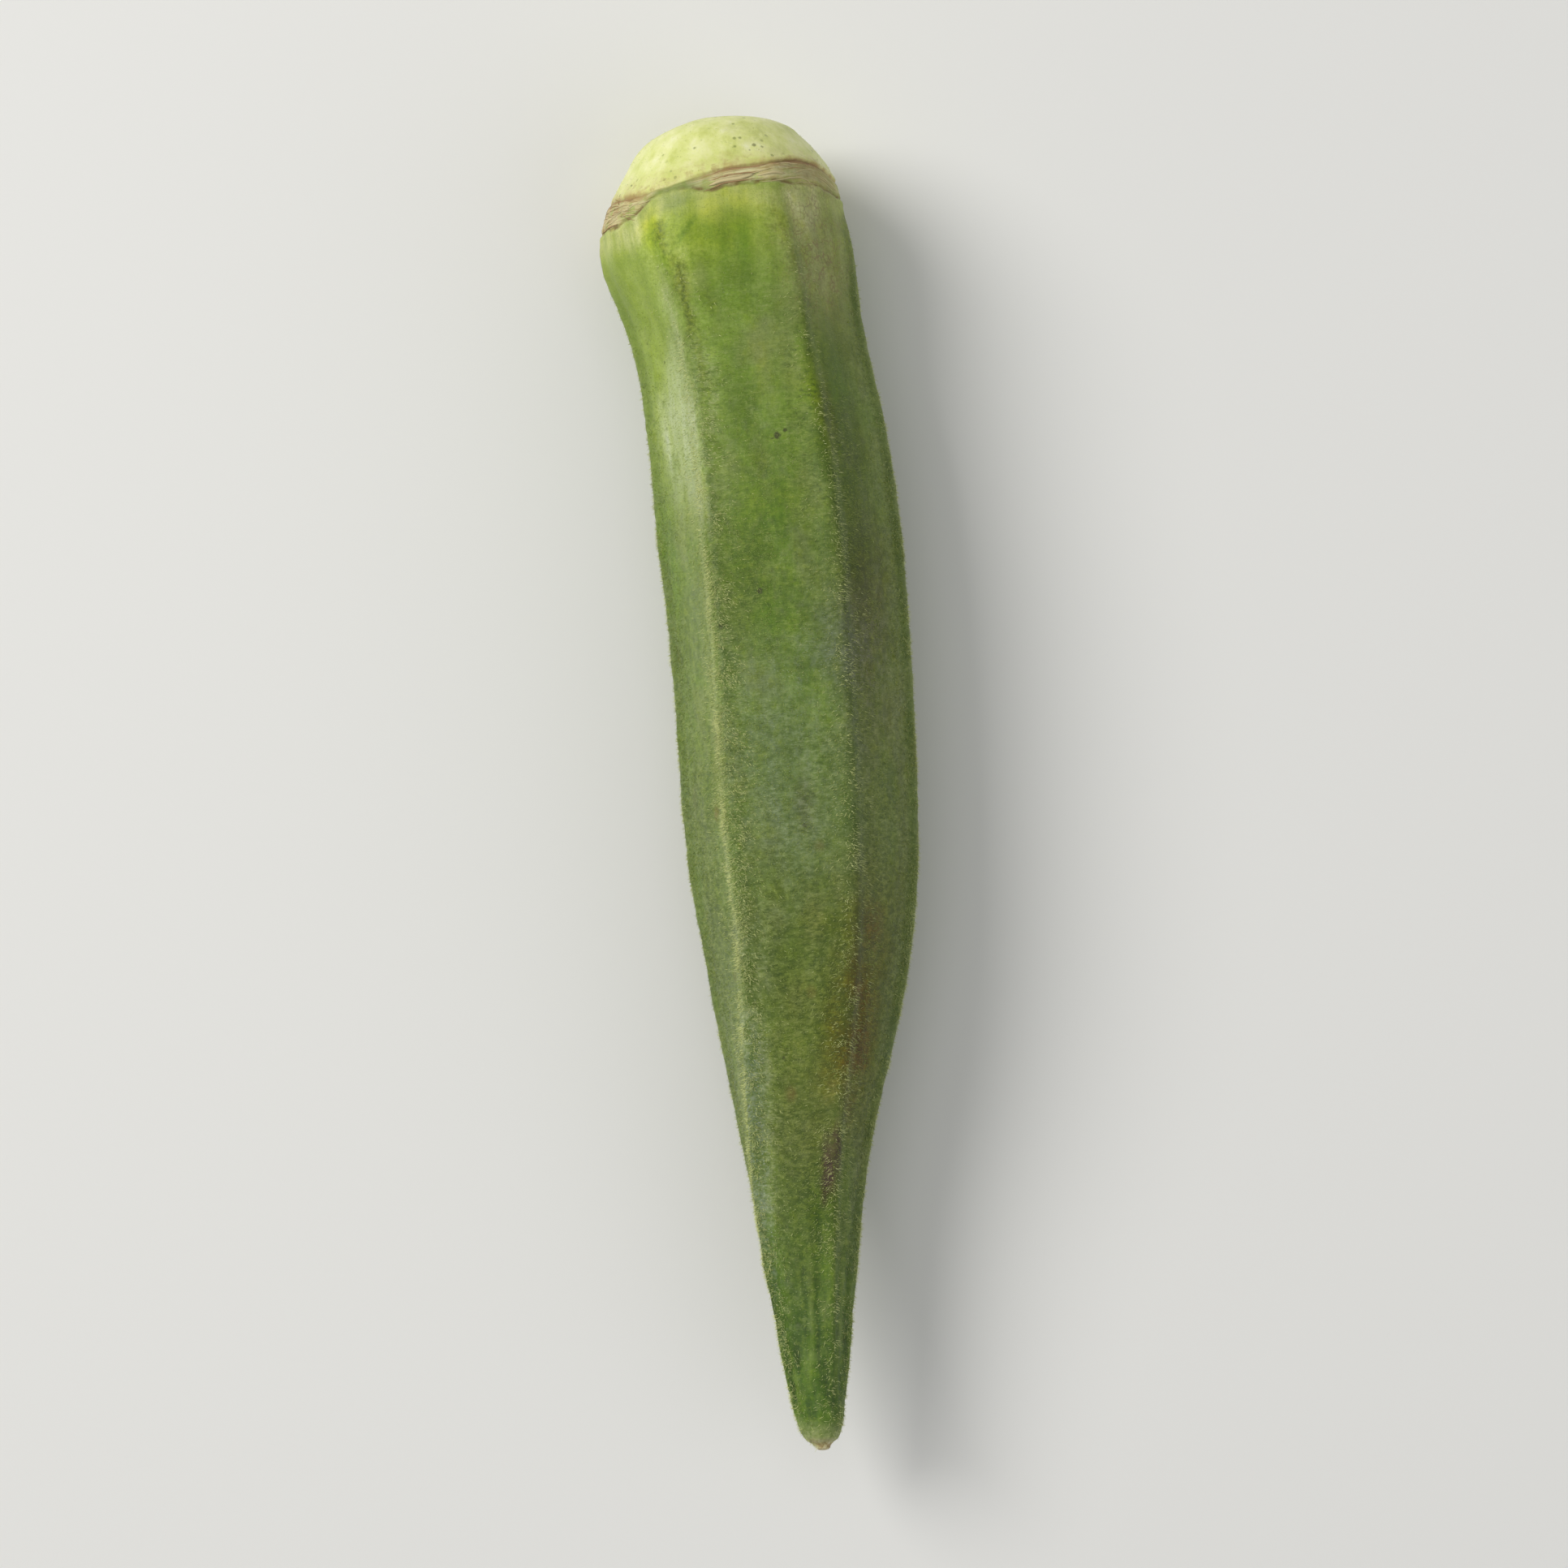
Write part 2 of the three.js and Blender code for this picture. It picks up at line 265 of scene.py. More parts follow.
def fields(s, theta):
    """Everything about points on the skin: radius with all its relief, and where each point lies."""
    half = half_width(s)
    rise = rise_of(s) * half
    rho = half - rise
    p = edge_of(s)
    sw = swell_of(s)
    ridge = ridges_at(s)
    total = np.zeros_like(s)
    for k in range(6):
        a = ridge[k]
        b = ridge[k + 1] if k < 5 else ridge[0] + 2 * math.pi
        c = np.cos(theta - (a + b) / 2) / (rho * np.cos((b - a) / 2))
        total += np.where(c > 0, np.power(np.maximum(c, 1e-9), p), 0)
    flat = np.power(total, -1 / p)
    base = flat * (1 - sw) + rho * sw
    r = base.copy()
    ridge_d = np.full_like(s, 99.0)  # signed distance from the nearest ridge, mm, along the skin
    ridge_k = np.zeros_like(s)
    seam = np.zeros_like(s)
    share = np.zeros_like(s)
    for k in range(6):
        d = wrap(theta - ridge[k])
        g = np.exp(-(d / RIB_SPREAD) ** 2)
        r += (half - base) * g * (1 - np.minimum(1, 1.02 * sw * sw))
        arc = d * half
        closer = np.abs(arc) < np.abs(ridge_d)
        ridge_d = np.where(closer, arc, ridge_d)
        ridge_k = np.where(closer, k, ridge_k)
        b = ridge[k + 1] if k < 5 else ridge[0] + 2 * math.pi
        e = wrap(theta - (ridge[k] + b) / 2) / (b - ridge[k])
        here = np.abs(e) <= 0.5
        share = np.where(here, e, share)
        m = np.exp(-(e / SEAM_SPREAD) ** 2)
        seam = np.maximum(seam, m)
        r -= seam_of(s) * m

    P = np.stack([half * np.cos(theta), half * np.sin(theta), s], -1)  # even millimetres on the skin
    q = s - RING_AT - ring_line(theta)  # distance from the scar's middle, towards the tip

    body = smooth(0.9, 2.2, q)
    cap = 1 - smooth(-0.9, -0.5, q)
    low = scar_low(theta)
    band = smooth(-0.78, -0.55, q) * (1 - smooth(low - 0.22, low + 0.16, q))
    faint = 0.25 + 0.75 * smooth(-0.35, 0.15, low)
    tipward = smooth(84, 97, s)
    near_end = smooth(98.6, 100.0, s)
    rim = 1 - smooth(0.6, 1.6, s)

    relief = np.zeros_like(s)
    # seeds press the facets out in soft swellings, in step along the pod
    swellings = noise(P * np.array([0.24, 0.24, 0.19]), 1)
    relief += 0.12 * swellings * body * (1 - tipward) * (0.35 + 0.65 * (1 - np.exp(-(ridge_d / 1.4) ** 2)))
    relief += 0.05 * fbm(P * 0.5, 3, 2) * body
    # fine ribs that run the length of the pod
    stripes = noise(P * np.array([0.95, 0.95, 0.045]), 6) + 0.6 * noise(P * np.array([1.9, 1.9, 0.09]), 7)
    relief += stripes * (0.032 + 0.03 * tipward) * body * (1 - near_end)
    # the ridges are a little knobbly, with a shallow furrow along one side
    on_ridge = np.exp(-(ridge_d / 0.75) ** 2)
    relief += 0.075 * noise(np.stack([ridge_k * 7.1 + ridge_d * 0.5, s * 0.9, s * 0], -1), 8) * on_ridge * body
    relief += 0.035 * noise(np.stack([ridge_k * 5.3 + ridge_d * 1.2, s * 2.6, s * 0], -1), 9) * on_ridge * body
    side = np.where(np.isin(ridge_k, (1, 2, 4)), -1.0, 1.0)
    furrow = bell(ridge_d * side, 1.15, 0.5)
    relief -= (np.where(ridge_k == 2, 0.045, 0.075) * furrow + 0.04 * bell(-ridge_d * side, 1.2, 0.6)) * body * (1 - tipward) * smooth(8, 16, s)
    # pleats below the scar, dying out down the shoulder
    pleats = noise(P * np.array([0.7, 0.7, 0.08]), 11)
    relief += 0.17 * pleats * smooth(0.6, 2.0, q) * (1 - smooth(5, 13, q))
    # light ribs and shrivelling towards the tip
    ribs = noise(P * np.array([1.45, 1.45, 0.05]), 13)
    relief += 0.15 * ribs * smooth(78, 92, s) * (1 - smooth(99.2, 100.0, s)) * np.minimum(1, half / 3.2)
    relief += 0.09 * noise(P * np.array([3.2, 3.2, 1.4]), 14) * near_end * (1 - smooth(100.25, 100.5, s))
    # the cap: lumpy, with faint streaks that run from the scar to the cut
    relief += cap * (0.10 * fbm(P * 0.36, 16, 2) + 0.030 * noise(P * np.array([1.5, 1.5, 0.35]), 18)
                     + 0.018 * noise(P * 1.9, 19))
    relief += rim * 0.10 * noise(np.stack([np.cos(theta) * 3.1, np.sin(theta) * 3.1, s * 0.0], -1), 20)
    # the scar: a groove under the cap's edge, a torn fibrous band, and a thin lip of skin below it
    strands = (noise(P * np.array([0.34, 0.34, 0.0]) + np.stack([s * 0, s * 0, q * 5.2], -1), 21)
               + 0.7 * noise(P * np.array([0.8, 0.8, 0.0]) + np.stack([s * 0, s * 0, q * 9.5], -1), 22))
    tear = noise(P * np.array([1.6, 1.6, 0.0]) + np.stack([s * 0, s * 0, q * 2.2], -1), 23)
    torn = around(theta, TORN)
    relief += band * (0.02 + 0.02 * torn + torn * (0.075 * strands + 0.05 * tear))
    relief += 0.075 * np.exp(-((q + 1.0) / 0.28) ** 2) * faint
    relief -= 0.17 * np.exp(-((q + 0.62) / 0.13) ** 2) * faint
    relief -= 0.10 * np.exp(-((q - low) / 0.12) ** 2) * faint
    relief += 0.07 * np.exp(-((q - low - 0.30) / 0.22) ** 2) * faint
    r = r + relief
    return dict(r=r, half=half, low=low, ridge_d=ridge_d, ridge_k=ridge_k, seam=seam, share=share, q=q,
                relief=relief, strands=strands, stripes=stripes, ribs=ribs, P=P, furrow=furrow, side=side,
                swellings=swellings)


def place(s, theta, r):
    """Points of the skin, in millimetres in the part's frame."""
    m, q = lean(s), pitch(s)
    right = np.stack([np.ones_like(s), m, np.zeros_like(s)], -1)
    right /= np.linalg.norm(right, axis=1)[:, None]
    along = np.stack([m, -np.ones_like(s), q], -1)
    along /= np.linalg.norm(along, axis=1)[:, None]
    up = np.cross(along, right)
    centre = np.stack([centre_x(s) - ORIGIN_X, ORIGIN_Y - s, centre_z(s)], -1)
    return centre + (r * np.cos(theta))[:, None] * right + (r * np.sin(theta))[:, None] * up, along


# =====================================================================================
# The body mesh
# =====================================================================================
PER_FACET = 33
AROUND = 6 * PER_FACET


def stations():
    """Distances along the pod, closest together at the scar, the cut rim and the tip."""
    xs = np.linspace(STALK_AT, TIP_AT, 20001)
    density = (3.9 + 2.6 * (1 - smooth(10, 15, xs)) + 8.5 * smooth(5.0, 5.5, xs) * (1 - smooth(8.0, 8.7, xs))
               + 9.0 * (1 - smooth(0.7, 1.3, xs)) + 3.0 * smooth(91, 96, xs) + 8.0 * smooth(99, 99.7, xs))
    total = np.concatenate([[0], np.cumsum((density[1:] + density[:-1]) / 2 * np.diff(xs))])
    n = 470
    return np.interp(np.linspace(0, total[-1], n), total, xs)


S = stations()
N = len(S)
u = np.arange(PER_FACET) / PER_FACET
gather = u - 0.32 * np.sin(2 * np.pi * u) / (2 * np.pi)
theta_rows = []
for s in S:
    ridge = [float(x) for x in ridges_at(np.array(s))]
    row = []
    for k in range(6):
        b = ridge[k + 1] if k < 5 else ridge[0] + 2 * math.pi
        row.append(ridge[k] + (b - ridge[k]) * gather)
    theta_rows.append(np.concatenate(row))
TH = np.array(theta_rows)
SS = np.repeat(S[:, None], AROUND, 1)
F = fields(SS.ravel(), TH.ravel())
skin, along_dir = place(SS.ravel(), TH.ravel(), F["r"])

# ---- the cut across the stalk, and the end of the tip ----
CUT_RINGS, TIP_RINGS = 15, 4
rim_th = TH[0]
rim_pts = skin.reshape(N, AROUND, 3)[0]
cut_axis = -along_dir.reshape(N, AROUND, 3)[0][0]
cut_centre = rim_pts.mean(0)
cut_share = 1 - np.linspace(0, 1, CUT_RINGS + 1)[1:-1] ** 0.9
cut_pts, cut_r = [], []
for f in cut_share:
    flat_pts = cut_centre + (rim_pts - cut_centre) * f
    rad = f * 3.4
    pr = np.stack([np.cos(rim_th) * rad, np.sin(rim_th) * rad, np.full(AROUND, 5.0)], -1)
    # a thin rind stands proud, the wood ring is rough, and the pith has dried and sunk
    h = (0.05 * bell(rad, 3.12, 0.16) - 0.10 * (1 - smooth(2.55, 3.0, rad)) - 0.26 * (1 - smooth(0.75, 1.75, rad))
         + 0.06 * bell(rad, 2.15, 0.3)
         + 0.05 * noise(pr * 0.9, 31) + 0.05 * noise(pr * 2.4, 32) * (1 - smooth(2.9, 3.3, rad))
         + 0.045 * noise(pr * np.array([5.0, 5.0, 1.0]), 33) * bell(rad, 2.2, 0.6))
    cut_pts.append(flat_pts + h[:, None] * cut_axis)
    cut_r.append(np.full(AROUND, rad))
cut_mid = cut_centre + (-0.36) * cut_axis
end_pts = skin.reshape(N, AROUND, 3)[-1]
end_axis = along_dir.reshape(N, AROUND, 3)[-1][0]
end_centre = end_pts.mean(0)
tip_pts = []
for i in range(1, TIP_RINGS + 1):
    f = 1 - i / (TIP_RINGS + 1)
    tip_pts.append(end_centre + (end_pts - end_centre) * f + end_axis * 0.16 * math.sqrt(1 - f * f))
tip_mid = end_centre + end_axis * 0.17

verts = np.concatenate([skin] + cut_pts + tip_pts + [cut_mid[None], tip_mid[None]])
verts[:, 2] = np.maximum(verts[:, 2], 0.0)
n_skin = N * AROUND
n_cut = len(cut_pts) * AROUND
n_tip = len(tip_pts) * AROUND
j = np.arange(AROUND)
jn = (j + 1) % AROUND


def quads(rows_a, rows_b):
    return np.stack([rows_a + j, rows_a + jn, rows_b + jn, rows_b + j], -1)


faces = [quads(i * AROUND, (i + 1) * AROUND) for i in range(N - 1)]
kinds = [np.zeros(AROUND)] * (N - 1)
outer = 0
for i in range(len(cut_pts)):
    inner = n_skin + i * AROUND
    faces.append(np.stack([outer + jn, outer + j, inner + j, inner + jn], -1))
    outer = inner
outer_t = (N - 1) * AROUND
for i in range(len(tip_pts)):
    inner = n_skin + n_cut + i * AROUND
    faces.append(quads(outer_t, inner))
    outer_t = inner
quad_faces = np.concatenate(faces)
i_cut, i_tip = n_skin + n_cut + n_tip, n_skin + n_cut + n_tip + 1
tris = np.concatenate([
    np.stack([np.full(AROUND, i_cut), outer + jn, outer + j], -1),
    np.stack([np.full(AROUND, i_tip), outer_t + j, outer_t + jn], -1)])


def mesh_object(name, points_mm, quads_=None, tris_=None, shade_smooth=True):
    me = bpy.data.meshes.new(name)
    points = np.asarray(points_mm, np.float64) * MM
    parts = [x for x in (quads_, tris_) if x is not None and len(x)]
    loops = np.concatenate([x.ravel() for x in parts]).astype(np.int32)
    counts = np.concatenate([np.full(len(x), x.shape[1]) for x in parts]).astype(np.int32)
    me.vertices.add(len(points))
    me.vertices.foreach_set("co", points.astype(np.float32).ravel())
    me.loops.add(len(loops))
    me.loops.foreach_set("vertex_index", loops)
    me.polygons.add(len(counts))
    starts = np.concatenate([[0], np.cumsum(counts)[:-1]]).astype(np.int32)
    me.polygons.foreach_set("loop_start", starts)
    me.polygons.foreach_set("loop_total", counts)
    me.polygons.foreach_set("use_smooth", np.full(len(counts), shade_smooth, dtype=bool))
    me.update(calc_edges=True)
    me.validate()
    ob = bpy.data.objects.new(name, me)
    bpy.context.scene.collection.objects.link(ob)
    return ob


body = mesh_object("okra_pod_skin", verts, quad_faces, tris)


def per_vertex(skin_values, cut_value=0.0, tip_value=0.0):
    out = np.zeros(len(verts), np.float32)
    out[:n_skin] = skin_values
    out[n_skin:n_skin + n_cut] = cut_value
    out[n_skin + n_cut:n_skin + n_cut + n_tip] = tip_value
    out[i_cut], out[i_tip] = (cut_value if np.isscalar(cut_value) else cut_value[-1]), tip_value
    return out


def attribute(ob, name, values):
    a = ob.data.attributes.new(name, "FLOAT", "POINT")
    a.data.foreach_set("value", np.asarray(values, np.float32))


s_, th_, q_ = SS.ravel(), TH.ravel(), F["q"]
deg_ = np.degrees(th_) % 360
P_ = F["P"]
rd, rk, sd = F["ridge_d"], F["ridge_k"], F["side"]
body_m = smooth(0.75, 1.15, q_)
cap_m = 1 - smooth(-0.72, -0.55, q_)
blotch = fbm(P_ * np.array([0.22, 0.22, 0.10]), 51, 3)
blotch2 = fbm(P_ * np.array([0.5, 0.5, 0.16]), 55, 2)

# pale crest of each ridge, faint elsewhere; bold on the upper left one, where it is also a painted highlight on the
# side facing the key light
wander = noise(np.stack([rk * 3.7, s_ * 0.16, s_ * 0], -1), 58)
crest_and_highlight = np.where(rk == 2, np.exp(-((rd - 0.75) / np.where(rd > 0.75, 1.05, 0.55)) ** 2), np.exp(-((rd - 0.1) / 0.36) ** 2))
crest_and_highlight *= np.where(rk == 2, 0.85, np.where(rk == 1, 0.12, 0.45)) * smooth(1.5, 7, q_)
crest_and_highlight *= np.clip(0.85 + 0.9 * wander, 0.25, 1.3)
attribute(body, "crest_and_highlight", per_vertex(crest_and_highlight))
# painted reflection: a pale sweep of glare on the facet left of the upper left ridge, and a fainter one lower down
left_of = wrap(th_ - np.radians(ridge_deg[2](s_))) * F["half"]
painted_reflection = smooth(-0.1, 0.8, left_of) * (1 - smooth(1.0 + 2.4 * smooth(14, 21, s_), 2.8 + 5.2 * smooth(14, 22, s_), left_of))
painted_reflection = painted_reflection * (smooth(11.5, 20, s_) * (1 - 0.8 * smooth(26.0, 30.5, s_)) * (1 - smooth(40, 50, s_)) + 0.1 * smooth(60, 66, s_) * (1 - smooth(76, 84, s_)))
attribute(body, "painted_reflection", per_vertex(np.clip(painted_reflection * (0.95 + 0.8 * blotch2 + 0.4 * blotch), 0, 1)))
# the left flank is a lighter, yellower green, strongest on the shoulder: partly its own colour, partly painted light on
# the side facing the key light
flank_tint_and_light = bell(deg_, 152, 32) * body_m * (0.12 + 0.88 * (1 - smooth(25, 36, s_))) * (1 - smooth(80, 94, s_))
attribute(body, "flank_tint_and_light", per_vertex(np.clip(flank_tint_and_light * (0.9 + 0.6 * blotch), 0, 1)))
# the pod darkens towards the tip, and a little behind the shoulder
shade_s = np.interp(s_, [0, 20, 27, 36, 44, 50, 58, 66, 74, 79, 84, 92, 97, 101], [0, 0.02, 0.26, 0.32, 0.22, 0.30, 0.44, 0.70, 0.50, 0.66, 0.92, 1.0, 1.0, 0.5])
attribute(body, "shade", per_vertex(np.clip(shade_s * (1 + 0.9 * blotch), 0, 1)))
flank_r = np.exp(-(np.abs(wrap(th_ - math.radians(24))) / 0.56) ** 4)
# painted shade: a dark band in the furrow beside each ridge
furrow = (np.where(rk == 2, 0.0, 0.8) * bell(rd * sd, 0.75, 0.5) + 0.25 * bell(-rd * sd, 1.2, 0.5)) * smooth(2, 7, q_) * (1 - smooth(86, 96, s_))
furrow *= np.clip(0.75 + 1.2 * noise(np.stack([rk * 5.1, s_ * 0.22, s_ * 0], -1), 59), 0.1, 1.25)
furrow *= np.where(rk == 1, 0.35 + 0.3 * smooth(28, 36, s_), 1.0)
# painted shadow: a thin dark line just right of the upper left ridge, on its shaded side, broken into beads
beads = np.clip(0.62 + 1.5 * noise(np.stack([s_ * 1.25, rd * 0.8, s_ * 0], -1), 97), 0, 1.2)
furrow += (rk == 2) * beads * (bell(rd, -0.42 + 0.16 * wander, 0.27) + 0.3 * smooth(26, 34, s_) * bell(rd, -1.1, 0.6)) * smooth(16, 27, s_) * (1 - smooth(70, 84, s_))
# dark olive mottling along the upper right ridge
furrow += (rk == 1) * np.clip(0.35 + 2.0 * fbm(P_ * np.array([0.8, 0.8, 0.3]), 98, 2), 0, 1) * bell(rd, 0.15, 0.75) * smooth(13, 20, s_) * (1 - smooth(76, 86, s_))
attribute(body, "furrow", per_vertex(np.clip(furrow, 0, 1.1)))
# marks on the upper face, placed by distance along the pod and along the skin from its top line
top_arc = wrap(th_ - math.pi / 2) * F["half"]
ragged_s = 0.9 * noise(P_ * 0.9, 81) + 0.5 * noise(P_ * 2.0, 83)
ragged_t = 0.5 * noise(P_ * 0.9, 85) + 0.35 * noise(P_ * 2.0, 87)


def blob(at, arc, ls, lt, slope=0.0, rag=1.0):
    du = s_ - at + rag * ragged_s * min(1.0, ls)
    dt = top_arc - arc - slope * (s_ - at) + rag * ragged_t * min(1.0, lt * 1.5)
    return np.exp(-((du / ls) ** 2 + (dt / lt) ** 2) ** 1.25)


# dark olive streaks that start under the scar: beside the ridges, and down the middle of a facet
drift = 0.35 * noise(P_ * np.array([0.5, 0.5, 0.35]), 62)
unseen = np.where(np.isin(rk, (0, 4, 5)), 1.0, np.where(rk == 1, 0.45, 0.0))
vee = 0.9 * unseen * bell(rd * sd + drift, 0.25 + 0.09 * (s_ - 9), 1.0) * smooth(1.6, 2.4, q_) * (1 - smooth(7, 15, q_))
vee += 0.7 * unseen * bell(F["share"] + 0.06 * drift, 0.06, 0.10 + 0.004 * (s_ - 8)) * smooth(1.6, 3.2, q_) * (1 - smooth(6, 13, q_))
vee = vee * (0.8 + 1.4 * blotch2)
vee += 1.0 * blob(9.6, 4.4, 1.0, 0.62) + 0.95 * blob(12.0, 3.75, 1.5, 0.62, 0.05) + 0.9 * blob(14.9, 3.95, 2.0, 0.40, 0.10)
vee += 0.5 * blob(14.2, 2.0, 1.2, 0.45) + 0.6 * blob(18.3, 3.7, 2.2, 0.36, 0.05)
# olive mottling on the right of the cap, around its two dark dots
vee += 0.55 * blob(3.0, -3.4, 1.2, 1.0) + 0.5 * blob(4.6, -1.6, 1.0, 0.8) + 0.5 * blob(2.0, -1.6, 0.8, 1.0) + 0.4 * blob(4.6, -5.2, 0.9, 1.0)
attribute(body, "vee", per_vertex(np.clip(vee, 0, 1)))
# soft saturated green, in streaks on the shoulder and in patches further down
lush = 0.75 * blob(11.3, -0.2, 2.8, 0.42, 0.36, 0.6) + 0.95 * blob(11.1, -1.9, 2.8, 0.62, 0.30, 0.6)
lush += 1.0 * blob(9.3, 2.2, 0.8, 0.42, 1.33, 0.5) + 0.5 * blob(9.6, 0.2, 1.0, 0.8)
lush += 0.8 * blob(31.0, -0.3, 2.6, 1.3) + 0.75 * blob(33.8, 3.7, 2.0, 1.0) + 0.75 * blob(38.6, 1.1, 2.4, 1.5) + 0.5 * blob(43.5, -1.5, 3.5, 1.4)
lush += 0.9 * blob(32.5, 12.6, 5.0, 1.9, 0, 1.5) + 0.5 * blob(44.0, 12.0, 4.0, 1.4) + 0.6 * blob(88.0, 3.1, 5.0, 0.55, -0.05, 0.5)
lush += smooth(0.15, 0.75, fbm(P_ * np.array([0.30, 0.30, 0.15]), 91, 2)) * (1 - bell(top_arc, 0, 8)) * smooth(16, 24, s_)
attribute(body, "lush", per_vertex(np.clip(lush, 0, 1)))
# yellower skin on the shoulder, next to the scar, palest just under it
low_ = F["low"]
yellow = (1 - smooth(0.9, 7.5, q_)) * body_m * np.clip(0.85 + blotch, 0, 1)
attribute(body, "yellow", per_vertex(np.clip(yellow, 0, 1)))
under = smooth(low_ - 0.05, low_ + 0.25, q_) * (1 - smooth(low_ + 0.9, low_ + 2.6, q_ + 0.6 * blotch2))
under *= 0.35 + 0.65 * (bell(deg_, 140, 44) + 0.6 * bell(deg_, 80, 24) + 0.5 * bell(deg_, 262, 50))
attribute(body, "under", per_vertex(np.clip(under, 0, 1)))
# greyer skin down the body, on the upper facet most of all
grey = smooth(30, 46, s_) * (1 - smooth(78, 88, s_)) * np.clip(0.72 + 1.1 * blotch, 0, 1)
grey = np.maximum(grey, 0.75 * bell(wrap(th_ - math.radians(22)), 0, 0.55) * smooth(8, 14, s_) * (1 - smooth(70, 84, s_)))
attribute(body, "grey", per_vertex(np.clip(grey, 0, 1)))
# slow changes of colour, placed by distance along the pod and along the skin from the upper left or the upper right ridge
by_left = left_of
by_right = wrap(th_ - np.radians(ridge_deg[1](s_))) * F["half"]


def cloud(at, arc, ls, lt, ref):
    du = s_ - at + ragged_s * min(1.6, 0.5 * ls)
    dt = ref - arc + ragged_t * min(1.4, lt)
    return np.exp(-((du / ls) ** 2 + (dt / lt) ** 2) ** 1.2)


# olive patches: partly the skin's own olive mottling, partly painted shade, most of all on the right facet beside the
# upper right ridge
olive_and_shade = 1.0 * cloud(24.5, -2.2, 5.0, 2.4, by_right) + 0.65 * cloud(31.5, -2.8, 6.0, 2.0, by_right) + 0.5 * cloud(33.0, -2.8, 4.2, 1.5, by_left)
olive_and_shade += 0.5 * cloud(30.3, 4.4, 2.2, 1.4, by_right) + 0.55 * cloud(64.5, -3.4, 3.0, 1.8, by_left) + 0.35 * cloud(86.0, -3.0, 5.0, 1.7, by_left)
olive_and_shade += 0.7 * cloud(86.5, 0.8, 4.5, 1.0, by_right) + 0.5 * cloud(97.0, 0.0, 2.2, 6.0, top_arc) + 0.35 * cloud(39.0, -3.6, 1.6, 1.8, by_left)
olive_and_shade += 0.6 * smooth(0.2, 0.7, fbm(P_ * np.array([0.22, 0.22, 0.10]), 94, 2)) * (1 - bell(top_arc, 0, 8)) * smooth(18, 26, s_)
olive_and_shade += 0.7 * cloud(34.0, -1.2, 2.2, 2.2, by_right) + 0.6 * cloud(20.5, -3.8, 3.2, 1.5, by_right) + 0.55 * cloud(10.2, 0.3, 1.2, 0.7, by_left)
olive_and_shade += 0.5 * cloud(58.0, -2.2, 1.8, 1.2, by_left) + 0.5 * cloud(62.0, 0.6, 2.2, 1.4, by_right) + 0.5 * cloud(82.0, 1.0, 2.4, 2.6, by_right) + 0.4 * cloud(94.2, 0.0, 2.2, 4.0, top_arc)
olive_and_shade += 0.35 * cloud(82.2, -1.2, 2.2, 1.6, top_arc) + 0.5 * cloud(34.3, -3.2, 2.0, 2.8, by_right)
olive_and_shade += 0.3 * cloud(38.4, -0.5, 1.8, 2.2, top_arc) + 0.3 * cloud(27.6, -5.0, 1.8, 1.6, by_right)
attribute(body, "olive_and_shade", per_vertex(np.clip(olive_and_shade, 0, 1)))
brassy = 1.0 * cloud(22.8, -0.6, 4.6, 2.2, by_right) + 0.8 * cloud(9.4, -0.8, 1.9, 3.4, top_arc) + 0.9 * cloud(8.8, 0.6, 1.4, 1.2, by_left)
brassy += 0.6 * cloud(30.0, 0.0, 2.4, 2.6, top_arc) + 0.6 * cloud(34.0, -2.5, 2.6, 1.6, by_left) + 0.4 * cloud(38.0, 1.5, 3.2, 3.0, top_arc)
brassy += 1.0 * cloud(69.0, 0.0, 4.2, 2.6, by_right) + 0.5 * cloud(61.5, 0.5, 3.0, 2.2, by_right) + 0.4 * cloud(86.0, 0.0, 5.0, 2.4, by_right)
brassy += 0.8 * smooth(0.15, 0.6, fbm(P_ * np.array([0.22, 0.22, 0.11]), 97, 2)) * (1 - bell(top_arc, 3, 16)) * smooth(8, 14, s_)
dun = 1.0 * cloud(41.0, -2.6, 8.0, 3.2, by_right) + 0.5 * cloud(27.0, -3.4, 3.5, 2.0, by_right) + 0.12 * cloud(42.0, 2.5, 3.5, 2.5, by_right)
dun += 0.5 * smooth(0.2, 0.7, fbm(P_ * np.array([0.2, 0.2, 0.09]), 98, 2)) * (1 - bell(top_arc, 0, 10)) * smooth(24, 32, s_)
attribute(body, "dun", per_vertex(np.clip(dun, 0, 1)))
attribute(body, "brassy", per_vertex(np.clip(brassy, 0, 1)))
bloom = 1.0 * cloud(50.0, -4.8, 10.0, 5.2, by_left) + 0.8 * cloud(41.5, 0.0, 4.5, 4.5, by_right) + 0.45 * cloud(66.0, 1.6, 9.0, 1.4, by_left)
bloom += 0.95 * bell(by_left, -0.3, 0.95) * np.interp(s_, [68, 72, 88, 93], [0, 1, 1, 0])
bloom += 0.7 * smooth(0.1, 0.6, fbm(P_ * np.array([0.24, 0.24, 0.11]), 93, 2)) * (1 - bell(top_arc, 1, 7)) * smooth(30, 44, s_) * (1 - smooth(78, 88, s_))
attribute(body, "bloom", per_vertex(np.clip(bloom * (0.9 + 0.7 * blotch), 0, 1.1)))
